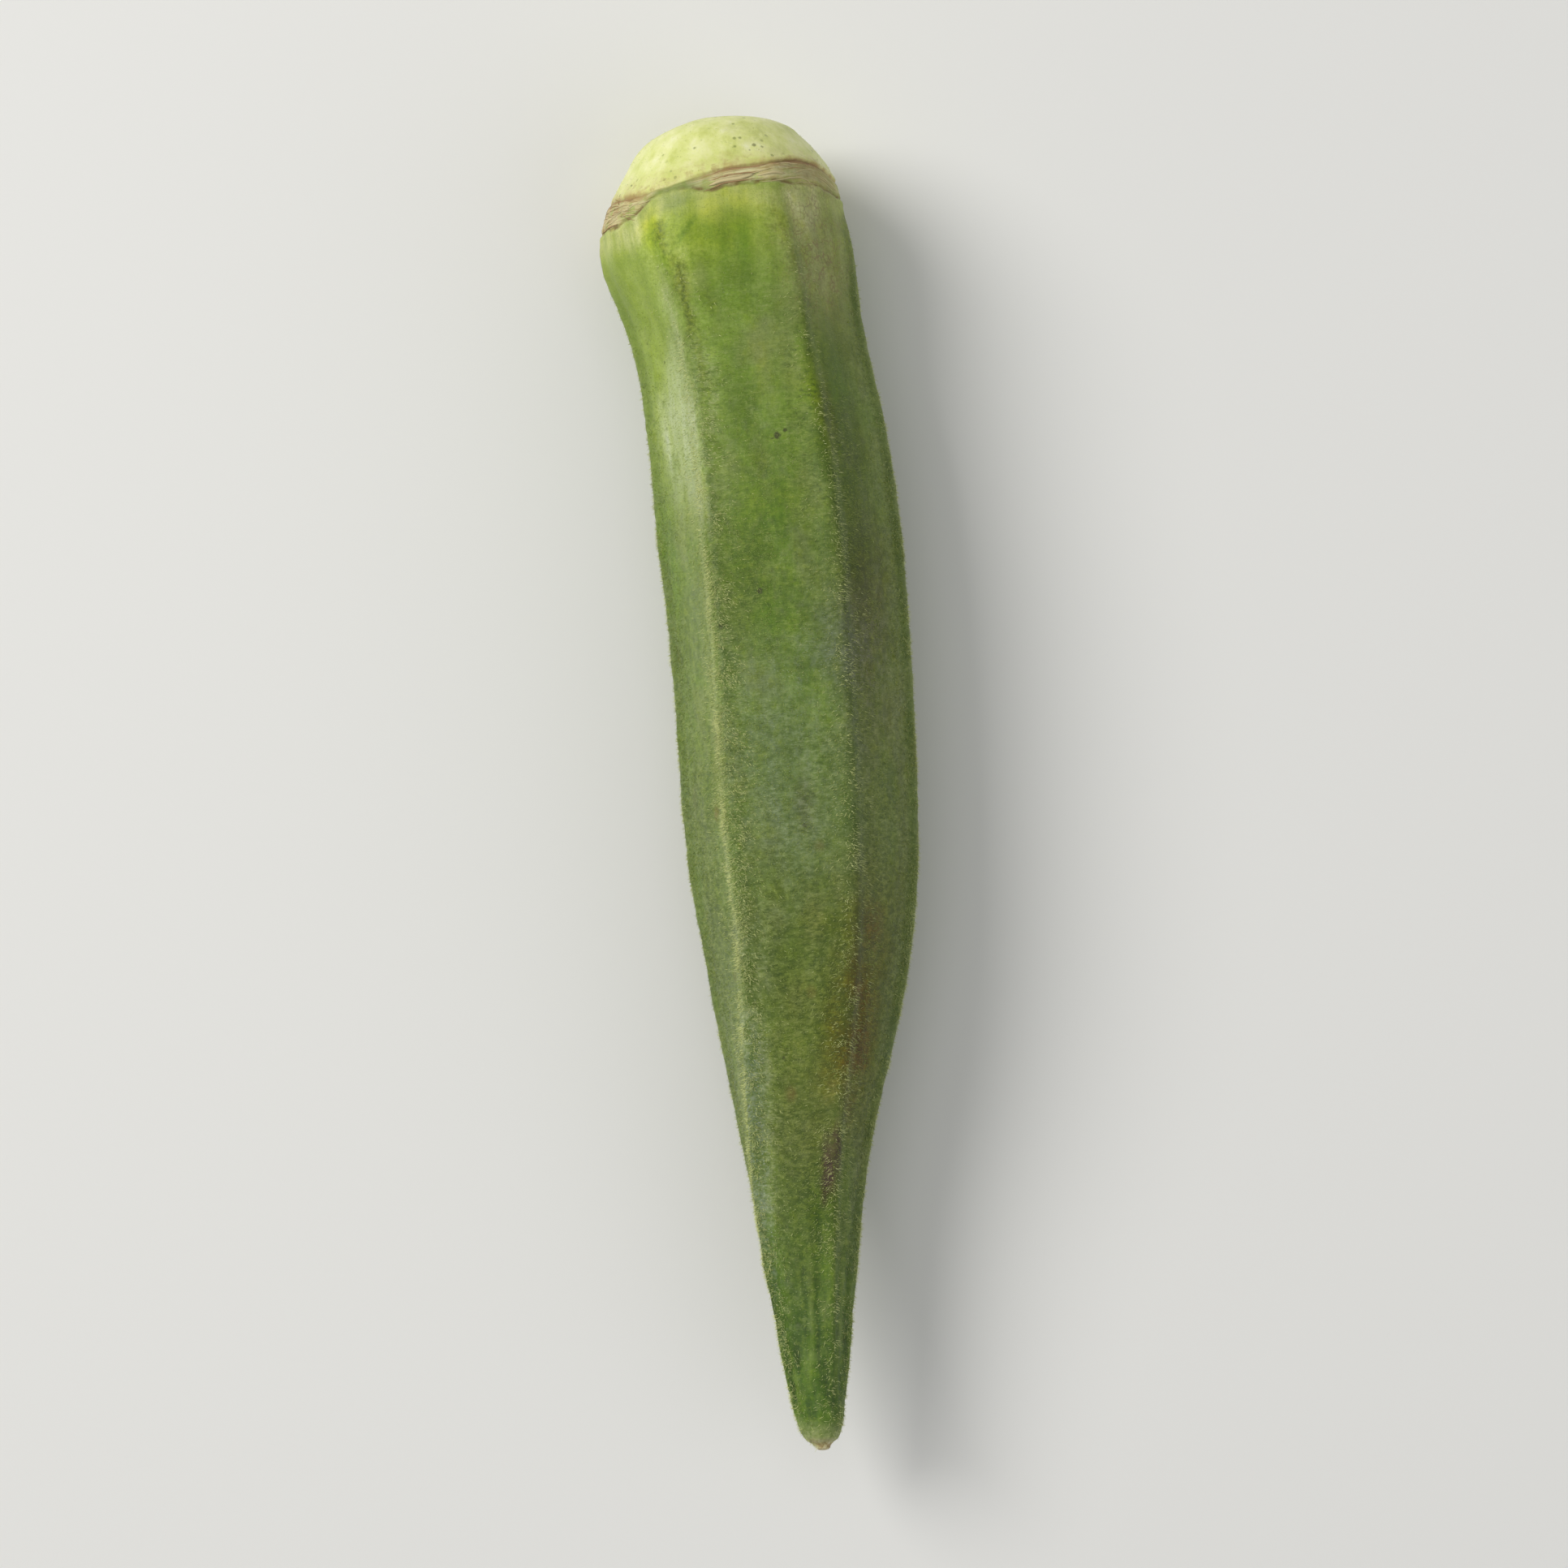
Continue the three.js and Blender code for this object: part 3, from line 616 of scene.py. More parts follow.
# drab brown, partly the skin's own colour, partly painted shade on the right flank
drab_skin_and_shade = 1.1 * cloud(67.0, -2.2, 9.5, 2.7, by_right) + 0.35 * cloud(61.0, 3.0, 2.5, 1.6, by_right) + 0.5 * cloud(34.0, -2.6, 5.0, 2.0, by_right)
drab_skin_and_shade += 0.36 * cloud(74.0, -4.6, 11.0, 3.2, by_left) + 0.35 * cloud(66.0, 0.6, 8.0, 1.4, by_right)
drab_skin_and_shade += 0.7 * smooth(0.3, 0.8, fbm(P_ * np.array([0.26, 0.26, 0.12]), 96, 2)) * (1 - bell(top_arc, 0, 8)) * smooth(40, 52, s_) * (1 - smooth(80, 88, s_))
attribute(body, "drab_skin_and_shade", per_vertex(np.clip(drab_skin_and_shade, 0, 1)))
rusty = 0.9 * cloud(61.5, -2.4, 1.5, 1.5, by_right) + 0.8 * cloud(66.8, -1.5, 1.3, 1.1, by_right) + 0.9 * cloud(70.6, -2.2, 1.8, 1.2, by_right) + 0.6 * cloud(75.5, -1.2, 1.4, 0.8, by_right)
rusty += 0.75 * cloud(71.2, -0.9, 2.2, 1.7, by_right)
rusty += 0.5 * smooth(0.42, 0.8, fbm(P_ * np.array([0.5, 0.5, 0.25]), 99, 2)) * (1 - bell(top_arc, 0, 8)) * smooth(30, 40, s_) * (1 - smooth(84, 90, s_))
attribute(body, "rusty", per_vertex(np.clip(rusty, 0, 1)))
# painted highlights: lighter along the upper left ridge and just right of it, and on the right shoulder under the scar
lit = bell(by_left, -1.0, 0.85) * np.interp(s_, [7.5, 9, 13, 21, 24, 33, 38, 60, 64, 70, 74, 84, 88], [0, 0.8, 0.9, 0.65, 0.35, 0.2, 0.1, 0.1, 0.45, 0.6, 0.8, 0.8, 0])
lit += bell(by_left, 0.0, 0.6) * (0.75 * bell(s_, 9.2, 1.4) + 1.0 * np.exp(-((s_ - 25.5) / 4.6) ** 4) + 0.5 * bell(s_, 63.2, 1.3) + 1.0 * bell(s_, 69.3, 1.6) + 0.7 * bell(s_, 75.2, 1.5))
lit += bell(by_left, 1.7, 0.9) * (0.5 * np.exp(-((s_ - 11.5) / 4.2) ** 4) + 0.35 * np.exp(-((s_ - 25.5) / 4.6) ** 4))
lit += 0.5 * cloud(67.0, -1.2, 3.2, 0.7, by_left) + 0.5 * cloud(72.5, -1.0, 2.2, 0.8, by_left) + 0.45 * cloud(80.0, -1.2, 3.5, 1.2, by_left)
lit += 0.7 * cloud(8.9, -3.4, 1.5, 1.8, by_right) + 0.6 * cloud(8.2, -4.2, 1.2, 1.6, by_right)
lit += 0.8 * cloud(23.2, 6.8, 2.8, 1.9, by_left) + 0.4 * cloud(29.2, 0.4, 1.5, 0.9, by_left)
lit += 0.35 * cloud(8.6, 3.0, 1.4, 1.8, by_left) + 0.3 * cloud(13.8, -0.5, 2.2, 2.6, top_arc) + 0.5 * cloud(74.0, 0.3, 1.8, 1.8, by_right)
lit += 1.0 * cloud(9.6, -0.8, 1.7, 2.4, by_right) + 0.4 * cloud(13.0, -0.6, 2.2, 1.6, by_right) + 0.3 * cloud(19.2, -0.8, 1.6, 1.6, by_right)
attribute(body, "lit", per_vertex(np.clip(lit * (1 + 0.8 * blotch2), 0, 1.3)))
# brownish cast: below the scar on the right, along the upper right ridge, and on the right flank
dusky = bell(wrap(th_ - math.radians(33)), 0, 0.45) * smooth(0.9, 1.6, q_) * (1 - smooth(7.0, 13.0, q_)) * np.clip(0.9 + 1.0 * blotch2, 0, 1)
attribute(body, "dusky", per_vertex(dusky))
brown = 0.6 * bell(wrap(th_ - math.radians(30)), 0, 0.42) * smooth(0.9, 1.4, q_) * (1 - smooth(2.6, 5.0, q_)) * np.clip(0.9 + 1.5 * blotch2, 0, 1)
brown += 0.5 * bell(wrap(th_ - math.radians(14)), 0, 0.5) * smooth(10, 16, s_) * (1 - smooth(74, 84, s_)) * np.clip(0.6 + 1.2 * blotch, 0, 1)
brown += 0.75 * blob(24.5, -5.9, 3.4, 0.9) + 0.3 * blob(19.8, -1.2, 3.0, 0.8) + 0.3 * blob(26.6, 0.1, 2.0, 0.7)
brown += 0.9 * blob(64.0, -4.6, 6.0, 1.4) + 0.7 * blob(71.5, -3.2, 5.0, 1.5) + 0.35 * blob(60.0, 2.0, 4.0, 1.2) + 0.4 * blob(66.5, 0.5, 3.0, 1.6)
brown += 0.55 * blob(47.3, 6.1, 1.2, 0.5) + 0.5 * blob(49.2, 6.9, 1.0, 0.5) + 0.5 * blob(51.0, 5.8, 1.2, 0.45)
brown += 0.5 * smooth(0.45, 0.8, fbm(P_ * np.array([0.35, 0.35, 0.12]), 95, 2)) * (1 - bell(top_arc, 0, 8)) * smooth(16, 24, s_)
attribute(body, "brown", per_vertex(np.clip(brown, 0, 1)))
bruise = 1.0 * blob(79.8, -2.25, 2.1, 0.42, -0.05) + 0.8 * blob(78.4, -2.95, 1.8, 0.40, -0.05) + 0.7 * blob(81.5, -1.85, 1.4, 0.30, -0.05)
bruise += 0.2 * blob(52.6, -0.9, 2.4, 0.9)
attribute(body, "bruise", per_vertex(np.clip(bruise, 0, 1)))
# where the down is thick enough to grey the skin: beside the ridges, and over the lower half
down = np.exp(-(rd / 2.3) ** 2) * smooth(11, 20, s_) * np.where(rk == 3, 0.6, 1.0) * (1 - 0.85 * bell(rd, 1.8, 2.0) * (rk == 2) * (1 - smooth(28, 40, s_)))
down = np.maximum(down, 0.85 * smooth(38, 52, s_)) * (1 - 0.85 * smooth(80, 90, s_))
attribute(body, "down", per_vertex(np.clip(down * (0.85 + 0.9 * blotch2), 0, 1)))
attribute(body, "cap", per_vertex(cap_m))
attribute(body, "ring_q", per_vertex(q_))
torn_ = around(th_, TORN)
band = smooth(-0.68, -0.56, q_) * (1 - smooth(low_ - 0.14 - 0.5 * (1 - torn_), low_ + 0.14 + 0.5 * (1 - torn_), q_))
attribute(body, "scar", per_vertex(band * (0.25 + 0.75 * torn_)))
attribute(body, "lined", per_vertex(around(th_, LINED)))
smudge = bell(q_, -0.45, 0.42) * (bell(deg_, 46, 13) + 0.6 * bell(deg_, 26, 10)) + 0.6 * bell(q_, 0.5, 0.4) * bell(deg_, 33, 9) + 0.5 * bell(q_, 1.1, 0.4) * bell(deg_, 20, 9)
smudge += 0.6 * bell(q_, -0.4, 0.4) * (bell(deg_, 230, 20) + bell(deg_, 320, 18))
smudge += 0.55 * bell(s_, 8.9, 1.3) * bell(deg_, 183, 8)
attribute(body, "smudge", per_vertex(np.clip(smudge * (0.9 + 1.2 * ragged_t), 0, 1)))
attribute(body, "scar_low", per_vertex(q_ - low_, 9.0, 9.0))
attribute(body, "scar_faint", per_vertex(0.15 + 0.85 * smooth(-0.35, 0.15, low_)))
# rosy on the left, straw in the middle, grey brown on the right
attribute(body, "rosy", per_vertex(np.clip(bell(deg_, 165, 36) + 0.6 * bell(deg_, 285, 40), 0, 1)))
attribute(body, "drab", per_vertex(np.clip(bell(wrap(th_ - math.radians(25)), 0, 0.45) + 0.6 * bell(deg_, 225, 30), 0, 1)))
attribute(body, "along", per_vertex(s_, STALK_AT, TIP_AT))
attribute(body, "tip", per_vertex(smooth(99.75, 100.3, s_ + 0.5 * blotch2), 0.0, 1.0))
attribute(body, "pale_end", per_vertex(smooth(98.2, 99.9, s_ + 0.9 * blotch2), 0.0, 1.0))
attribute(body, "ribs", per_vertex(0.5 + 0.9 * F["ribs"]))
attribute(body, "fresh", per_vertex(smooth(82, 92, s_) * (1 - smooth(98.5, 99.6, s_))))
cut_flag = np.zeros(len(verts))
cut_flag[n_skin:n_skin + n_cut] = 1
cut_flag[i_cut] = 1
cut_flag[:AROUND] = 0.5
attribute(body, "cut", cut_flag)
cut_rad = np.full(len(verts), 9.0)
cut_rad[:AROUND] = 3.4
cut_rad[n_skin:n_skin + n_cut] = np.concatenate(cut_r)
cut_rad[i_cut] = 0
attribute(body, "cut_r", cut_rad)

# ---- an unwrapping of the body: a wide sheet, and two small discs ----
uv = body.data.uv_layers.new(name="OFBake")
loops_n = len(body.data.loops)
lv = np.zeros(loops_n, np.int32)
body.data.loops.foreach_get("vertex_index", lv)
uvs = np.zeros((loops_n, 2), np.float32)
nq_skin = (N - 1) * AROUND
col = np.tile(np.stack([j, j + 1, j + 1, j], -1).ravel(), N - 1)
row = np.repeat(np.arange(N - 1), AROUND * 4) + np.tile([0, 0, 1, 1], nq_skin)
vs = (S - S[0]) / (S[-1] - S[0])
uvs[:nq_skin * 4, 0] = 0.008 + 0.872 * col / AROUND
uvs[:nq_skin * 4, 1] = 0.985 - 0.97 * vs[row]
rest = slice(nq_skin * 4, None)
lv_rest = lv[rest]
n_cut_loops = len(cut_pts) * AROUND * 4
n_tip_loops = len(tip_pts) * AROUND * 4
rad_of = np.zeros(len(verts))
rad_of[:AROUND] = 1
for i, f in enumerate(cut_share):
    rad_of[n_skin + i * AROUND:n_skin + (i + 1) * AROUND] = f
rad_of[(N - 1) * AROUND:N * AROUND] = 1
for i in range(len(tip_pts)):
    a0 = n_skin + n_cut + i * AROUND
    rad_of[a0:a0 + AROUND] = 1 - (i + 1) / (TIP_RINGS + 1)
ang = np.concatenate([np.tile(np.arange(AROUND) / AROUND, (len(verts) - 2) // AROUND), [0, 0]]) * 2 * math.pi
is_cut = np.zeros(len(lv_rest), bool)
is_cut[:n_cut_loops] = True
is_cut[n_cut_loops + n_tip_loops:n_cut_loops + n_tip_loops + AROUND * 3] = True
cx = np.where(is_cut, 0.94, 0.94)
cy = np.where(is_cut, 0.93, 0.82)
rr = np.where(is_cut, 0.052, 0.02)
uvs[rest, 0] = cx + rr * rad_of[lv_rest] * np.cos(ang[lv_rest]) * np.where(is_cut, 1, -1)
uvs[rest, 1] = cy + rr * rad_of[lv_rest] * np.sin(ang[lv_rest])
uv.data.foreach_set("uv", uvs.ravel())

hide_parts("okra_pod")
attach(body, "root")


# =====================================================================================
# Hairs and torn fibres: all real geometry
# =====================================================================================
skin_grid = verts[:n_skin].reshape(N, AROUND, 3)
d_s = np.gradient(skin_grid, axis=0)
d_t = (np.roll(skin_grid, -1, 1) - np.roll(skin_grid, 1, 1))
normals = np.cross(d_t, d_s)
normals /= np.maximum(np.linalg.norm(normals, axis=2), 1e-9)[..., None]
ds_len = np.abs(np.gradient(S))
dt_len = np.linalg.norm(d_t, axis=2) / 2
cell_area = dt_len * ds_len[:, None]
RD = rd.reshape(N, AROUND)
RK = rk.reshape(N, AROUND)
QQ = q_.reshape(N, AROUND)


def sample(grid, i, jj, fi, fj):
    i1, j1 = np.minimum(i + 1, N - 1), (jj + 1) % AROUND
    return ((grid[i, jj].T * (1 - fi) + grid[i1, jj].T * fi) * (1 - fj)
            + (grid[i, j1].T * (1 - fi) + grid[i1, j1].T * fi) * fj).T


def scatter(weight, count, rng):
    w = (weight * cell_area)[:-1].ravel()
    w = np.maximum(w, 0)
    c = np.cumsum(w)
    pick = np.searchsorted(c, rng.random_sample(count) * c[-1])
    i, jj = np.divmod(np.minimum(pick, len(w) - 1), AROUND)
    return i, jj, rng.random_sample(count), rng.random_sample(count)


def spikes(name, weight, count, length, width, lay, comb, seed, material):
    """Short tapered hairs, each one a closed three-sided spike rooted in the skin."""
    rng = np.random.RandomState(seed)
    i, jj, fi, fj = scatter(weight, count, rng)
    p = sample(skin_grid, i, jj, fi, fj)
    n = sample(normals, i, jj, fi, fj)
    n /= np.linalg.norm(n, axis=1)[:, None]
    tipwards = np.array([0.0, -1.0, 0.0])
    t1 = tipwards - n * (n @ tipwards)[:, None]
    t1 /= np.maximum(np.linalg.norm(t1, axis=1), 1e-6)[:, None]
    t2 = np.cross(n, t1)
    # combed across the pod, away from the ridge, and a little towards the tip
    away = np.sign(RD[i, jj] + rng.normal(0, 0.5, len(p)))
    swing = away * (math.pi / 2 - 0.35) + rng.normal(0, comb, len(p))
    tilt = np.clip(rng.normal(lay, 0.22, len(p)), 0.0, 1.42)
    way = np.cos(swing)[:, None] * t1 - np.sin(swing)[:, None] * t2
    d = np.cos(tilt)[:, None] * n + np.sin(tilt)[:, None] * way
    ln = np.clip(rng.normal(1.0, 0.28, len(p)), 0.4, 1.8) * length
    wd = np.clip(rng.normal(1.0, 0.2, len(p)), 0.5, 1.6) * width
    a = np.cross(d, n + 0.37 * t2)
    a /= np.maximum(np.linalg.norm(a, axis=1), 1e-6)[:, None]
    b = np.cross(d, a)
    root = p - n * 0.03
    apex = p + d * ln[:, None]
    keep = apex[:, 2] > 0.02
    keep &= root[:, 2] > 0.04
    root, apex, a, b, wd = root[keep], apex[keep], a[keep], b[keep], wd[keep]
    k = len(root)
    pts = np.zeros((k, 4, 3))
    for m, (ca, cb) in enumerate(((1, 0), (-0.5, 0.866), (-0.5, -0.866))):
        pts[:, m] = root + wd[:, None] * (ca * a + cb * b)
    pts[:, 3] = apex
    base = (np.arange(k) * 4)[:, None]
    # a x b points along d, so the three corners turn about d: the sides face out, the base faces in
    t = np.concatenate([base + np.array([0, 1, 3]), base + np.array([1, 2, 3]),
                        base + np.array([2, 0, 3]), base + np.array([2, 1, 0])])
    ob = mesh_object(name, pts.reshape(-1, 3), None, t, shade_smooth=False)
    ob.data.materials.append(material)
    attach(ob, "root")
    return ob


def lin(r, g, b):
    def f(c):
        c /= 255
        return c / 12.92 if c <= 0.04045 else ((c + 0.055) / 1.055) ** 2.4
    return (f(r), f(g), f(b), 1.0)


def plain(name, rgb, rough, sheen=0.0, sub=0.0):
    m = bpy.data.materials.new(name)
    m.use_nodes = True
    b = m.node_tree.nodes["Principled BSDF"]
    b.inputs["Base Color"].default_value = lin(*rgb)
    b.inputs["Roughness"].default_value = rough
    b.inputs["Sheen Weight"].default_value = sheen
    if sub:
        b.inputs["Subsurface Weight"].default_value = sub
        b.inputs["Subsurface Scale"].default_value = 0.0003
    return m


hair_pale = plain("okra_hair_pale", (204, 210, 138), 0.5, 0.1)
hair_green = plain("okra_hair_green", (142, 158, 68), 0.5, 0.1)
hair_fine = plain("okra_hair_fine", (164, 178, 94), 0.5, 0.1)

dens_body = smooth(1.8, 9, QQ) * (0.40 + 0.60 * smooth(16, 34, SS)) * (1 - 0.8 * smooth(98.5, 100, SS))
dens_face = dens_body * (1 - 0.72 * smooth(80, 90, SS))
patch = np.clip(0.75 + 1.3 * fbm(P_ * np.array([0.35, 0.35, 0.2]), 71, 2), 0.1, 1.8).reshape(N, AROUND)
ridge_share = np.where(RK == 2, 1.0, np.where(RK == 1, 0.45, 0.8))
ridge_share = np.where(RK == 1, 0.3, ridge_share) * (1 + 0.8 * smooth(78, 88, SS))
sharp = np.where(RK == 2, 0.55 - 0.25 * smooth(34, 48, SS), 0.55)
on_crest = (sharp * np.exp(-(RD / 0.36) ** 2) + (1 - sharp) * np.exp(-((RD - 0.1) / 1.15) ** 2)) * ridge_share
near_crest = np.exp(-(RD / 2.0) ** 2) * np.where(RK == 2, 1.3, 0.6)
tuft = np.clip(0.55 + 2.2 * noise(P_ * np.array([0.9, 0.9, 0.55]), 75), 0.05, 2.2).reshape(N, AROUND)
spikes("hairs_on_ridges", dens_body * tuft * (on_crest + 0.2 * near_crest * (1 - smooth(80, 88, SS))), 34000, 0.29, 0.020, 0.95, 0.5, 11, hair_pale)
spikes("hairs_on_facets", dens_face * patch * (0.45 + 0.5 * near_crest), 44000, 0.25, 0.017, 1.12, 0.8, 12, hair_green)
spikes("fine_down", (dens_face * 0.8 + 0.10 * (QQ < -1) * (SS > 1.2)) * patch, 46000, 0.19, 0.013, 1.0, 0.9, 13, hair_fine)


def fibres(name, count, spread, thick, seed, material, q_from, q_to, placed=()):
    """Torn strands of the calyx, lying along the scar: thin closed spindles, bent to the skin."""
    rng = np.random.RandomState(seed)
    pts, tri = [], []
    segs, sides = 8, 4
    for n_th in range(count + len(placed)):
        th0 = rng.uniform(0, 2 * math.pi)
        deg = math.degrees(th0)
        low_here = float(scar_low(np.array([th0]))[0])
        width = low_here - q_from
        by_hand = placed[n_th - count] if n_th >= count else None
        if by_hand is None and (width < 0.25 or rng.random_sample() > width / 1.6 * float(around(np.array([th0]), TORN)[0]) ** 1.5 * (0.32 if 50 < deg < 95 else 1.0)):
            continue
        span = rng.uniform(0.5, 1.0) * spread / 9.3
        q0 = q_from + (width * 0.95) * rng.random_sample() ** (1.0 if q_to > 0 else 2.2)
        slope = rng.normal(0, 0.10)
        wave, phase = rng.uniform(0.02, 0.10), rng.uniform(0, 6.28)
        lift0, lift1 = rng.uniform(0.0, 0.03), rng.uniform(0.0, 0.12) ** 1.2
        t = np.linspace(0, 1, segs + 1)
        th = th0 + (t - 0.5) * span
        qq = q0 + slope * (t - 0.5) * span * 9.3 + wave * np.sin(phase + 5 * t)
        w = thick * rng.uniform(0.6, 1.4)
        if by_hand is not None:
            th = np.radians(by_hand[0] + (by_hand[1] - by_hand[0]) * t)
            qq = by_hand[2] + (by_hand[3] - by_hand[2]) * t + 0.04 * np.sin(phase + 7 * t)
            w = by_hand[4]
        ss = RING_AT + qq + ring_line(th)
        f = fields(ss, th)
        r = f["r"] + lift0 + lift1 * (2 * np.abs(t - 0.5)) ** 3
        c, along = place(ss, th, r)
        if c[:, 2].min() < 0.25:
            continue
        tang = np.gradient(c, axis=0)
        tang /= np.linalg.norm(tang, axis=1)[:, None]
        out, _a = place(ss, th, r + 1.0)
        out = out - c
        side_ = np.cross(tang, out)
        side_ /= np.linalg.norm(side_, axis=1)[:, None]
        out = np.cross(side_, tang)
        w = w * np.sin(np.pi * np.clip(t * 0.94 + 0.03, 0, 1)) ** 0.6
        base = len(pts)
        for m in range(1, segs):
            for k in range(sides):
                ang_ = 2 * math.pi * k / sides
                pts.append(c[m] + w[m] * (1.5 * math.cos(ang_) * side_[m] + 0.55 * math.sin(ang_) * out[m]))
        pts.append(c[0])
        pts.append(c[-1])
        a0, a1 = base + (segs - 1) * sides, base + (segs - 1) * sides + 1
        for m in range(segs - 2):
            for k in range(sides):
                k1 = (k + 1) % sides
                p0, p1 = base + m * sides + k, base + m * sides + k1
                q0_, q1_ = p0 + sides, p1 + sides
                tri.append((p0, q1_, p1))
                tri.append((p0, q0_, q1_))
        for k in range(sides):
            k1 = (k + 1) % sides
            tri.append((a0, base + k, base + k1))
            tri.append((a1, base + (segs - 2) * sides + k1, base + (segs - 2) * sides + k))
    ob = mesh_object(name, np.array(pts), None, np.array(tri))
    ob.data.materials.append(material)
    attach(ob, "root")
    return ob


straw = plain("scar_straw", (208, 194, 144), 0.75)
umber = plain("scar_umber", (170, 138, 96), 0.8)
fibres("scar_fibres_straw", 260, 4.2, 0.022, 31, straw, -0.42, 1.0,
       [(90, 66, 0.30, 0.12, 0.13), (88, 70, 0.16, 0.02, 0.08), (172, 150, 0.75, 0.35, 0.08), (66, 50, 0.2, 0.35, 0.07)])
fibres("scar_fibres_umber", 110, 3.2, 0.020, 32, umber, -0.58, 0.0,
       [(93, 66, 0.50, 0.36, 0.045), (90, 63, -0.10, -0.05, 0.04), (174, 146, 1.1, 1.0, 0.04), (88, 60, -0.56, -0.52, 0.05),
        (60, 28, -0.52, -0.5, 0.045), (172, 132, -0.52, -0.5, 0.04)])

# =====================================================================================
# Materials
# =====================================================================================


class Graph:
    """A small helper that adds nodes and links them."""

    def __init__(self, name):
        self.mat = bpy.data.materials.new(name)
        self.mat.use_nodes = True
        self.nt = self.mat.node_tree
        self.bsdf = self.nt.nodes["Principled BSDF"]
        self.x = -1800

    def node(self, kind, **props):
        n = self.nt.nodes.new(kind)
        n.location = (self.x, 0)
        self.x += 20
        for k, v in props.items():
            setattr(n, k, v)
        return n

    def link(self, a, b):
        self.nt.links.new(a, b)

    def put(self, socket, value):
        if hasattr(value, "is_output") or isinstance(value, bpy.types.NodeSocket):
            self.link(value, socket)
        else:
            socket.default_value = value

    def attr(self, name):
        return self.node("ShaderNodeAttribute", attribute_type="GEOMETRY", attribute_name=name).outputs["Fac"]

    def math(self, op, a, b=None, c=None, clamp=False):
        n = self.node("ShaderNodeMath", operation=op, use_clamp=clamp)
        self.put(n.inputs[0], a)
        if b is not None:
            self.put(n.inputs[1], b)
        if c is not None:
            self.put(n.inputs[2], c)
        return n.outputs[0]

    def mul(self, a, b, clamp=False):
        return self.math("MULTIPLY", a, b, clamp=clamp)

    def add(self, a, b, clamp=False):
        return self.math("ADD", a, b, clamp=clamp)

    def map(self, v, lo, hi, out_lo=0.0, out_hi=1.0, smoothstep=False):
        n = self.node("ShaderNodeMapRange", interpolation_type="SMOOTHSTEP" if smoothstep else "LINEAR")
        self.put(n.inputs["Value"], v)
        n.inputs["From Min"].default_value = lo
        n.inputs["From Max"].default_value = hi
        n.inputs["To Min"].default_value = out_lo
        n.inputs["To Max"].default_value = out_hi
        return n.outputs[0]

    def mix(self, fac, a, b):
        n = self.node("ShaderNodeMix", data_type="RGBA")
        self.put(n.inputs[0], fac)
        self.put(n.inputs[6], a)
        self.put(n.inputs[7], b)
        return n.outputs[2]

    def mix_mode(self, mode, fac, a, b):
        n = self.node("ShaderNodeMix", data_type="RGBA", blend_type=mode)
        self.put(n.inputs[0], fac)
        self.put(n.inputs[6], a)
        self.put(n.inputs[7], b)
        return n.outputs[2]

    def coords(self, scale, offset=(0, 0, 0)):
        """Object coordinates in millimetres, stretched."""
        tc = self.node("ShaderNodeTexCoord").outputs["Object"]
        m = self.node("ShaderNodeMapping")
        self.link(tc, m.inputs["Vector"])
        m.inputs["Scale"].default_value = [1000 * x for x in scale]
        m.inputs["Location"].default_value = offset
        return m.outputs[0]

    def noise(self, vec, scale=1.0, detail=2.0, rough=0.5, distortion=0.0):
        n = self.node("ShaderNodeTexNoise")
        self.put(n.inputs["Vector"], vec)
        n.inputs["Scale"].default_value = scale
        n.inputs["Detail"].default_value = detail
        n.inputs["Roughness"].default_value = rough
        n.inputs["Distortion"].default_value = distortion
        return n.outputs["Fac"]

    def voronoi(self, vec, scale=1.0, feature="F1", randomness=1.0):
        n = self.node("ShaderNodeTexVoronoi", feature=feature)
        self.put(n.inputs["Vector"], vec)
        n.inputs["Scale"].default_value = scale
        n.inputs["Randomness"].default_value = randomness
        return n

    def ramp(self, fac, stops):
        n = self.node("ShaderNodeValToRGB")
        self.put(n.inputs[0], fac)
        el = n.color_ramp.elements
        while len(el) < len(stops):
            el.new(0.5)
        for e, (at, rgb) in zip(el, stops):
            e.position = at
            e.color = lin(*rgb)
        return n.outputs[0]


# specks: distance along the pod, angle, radius in mm, strength
SPECKS = [(25.06, 80.9, 0.30, 0.9), (24.79, 76.4, 0.19, 0.8), (25.2, 83.6, 0.12, 0.6), (36.4, 99.5, 0.24, 0.8),
          (4.0, 65.6, 0.20, 0.6), (4.25, 61.0, 0.13, 0.5), (4.5, 68.5, 0.10, 0.45), (3.0, 56.0, 0.14, 0.4), (38.8, 120.2, 0.20, 0.55), (17.6, 146.0, 0.16, 0.5),
          (54.2, 84.0, 0.18, 0.6), (71.5, 104.0, 0.16, 0.6), (31.0, 212.0, 0.28, 0.8), (46.5, 338.0, 0.26, 0.8),
          (62.0, 228.0, 0.22, 0.7), (14.5, 330.0, 0.24, 0.8), (3.4, 210.0, 0.20, 0.7), (5.1, 140.0, 0.15, 0.6)]


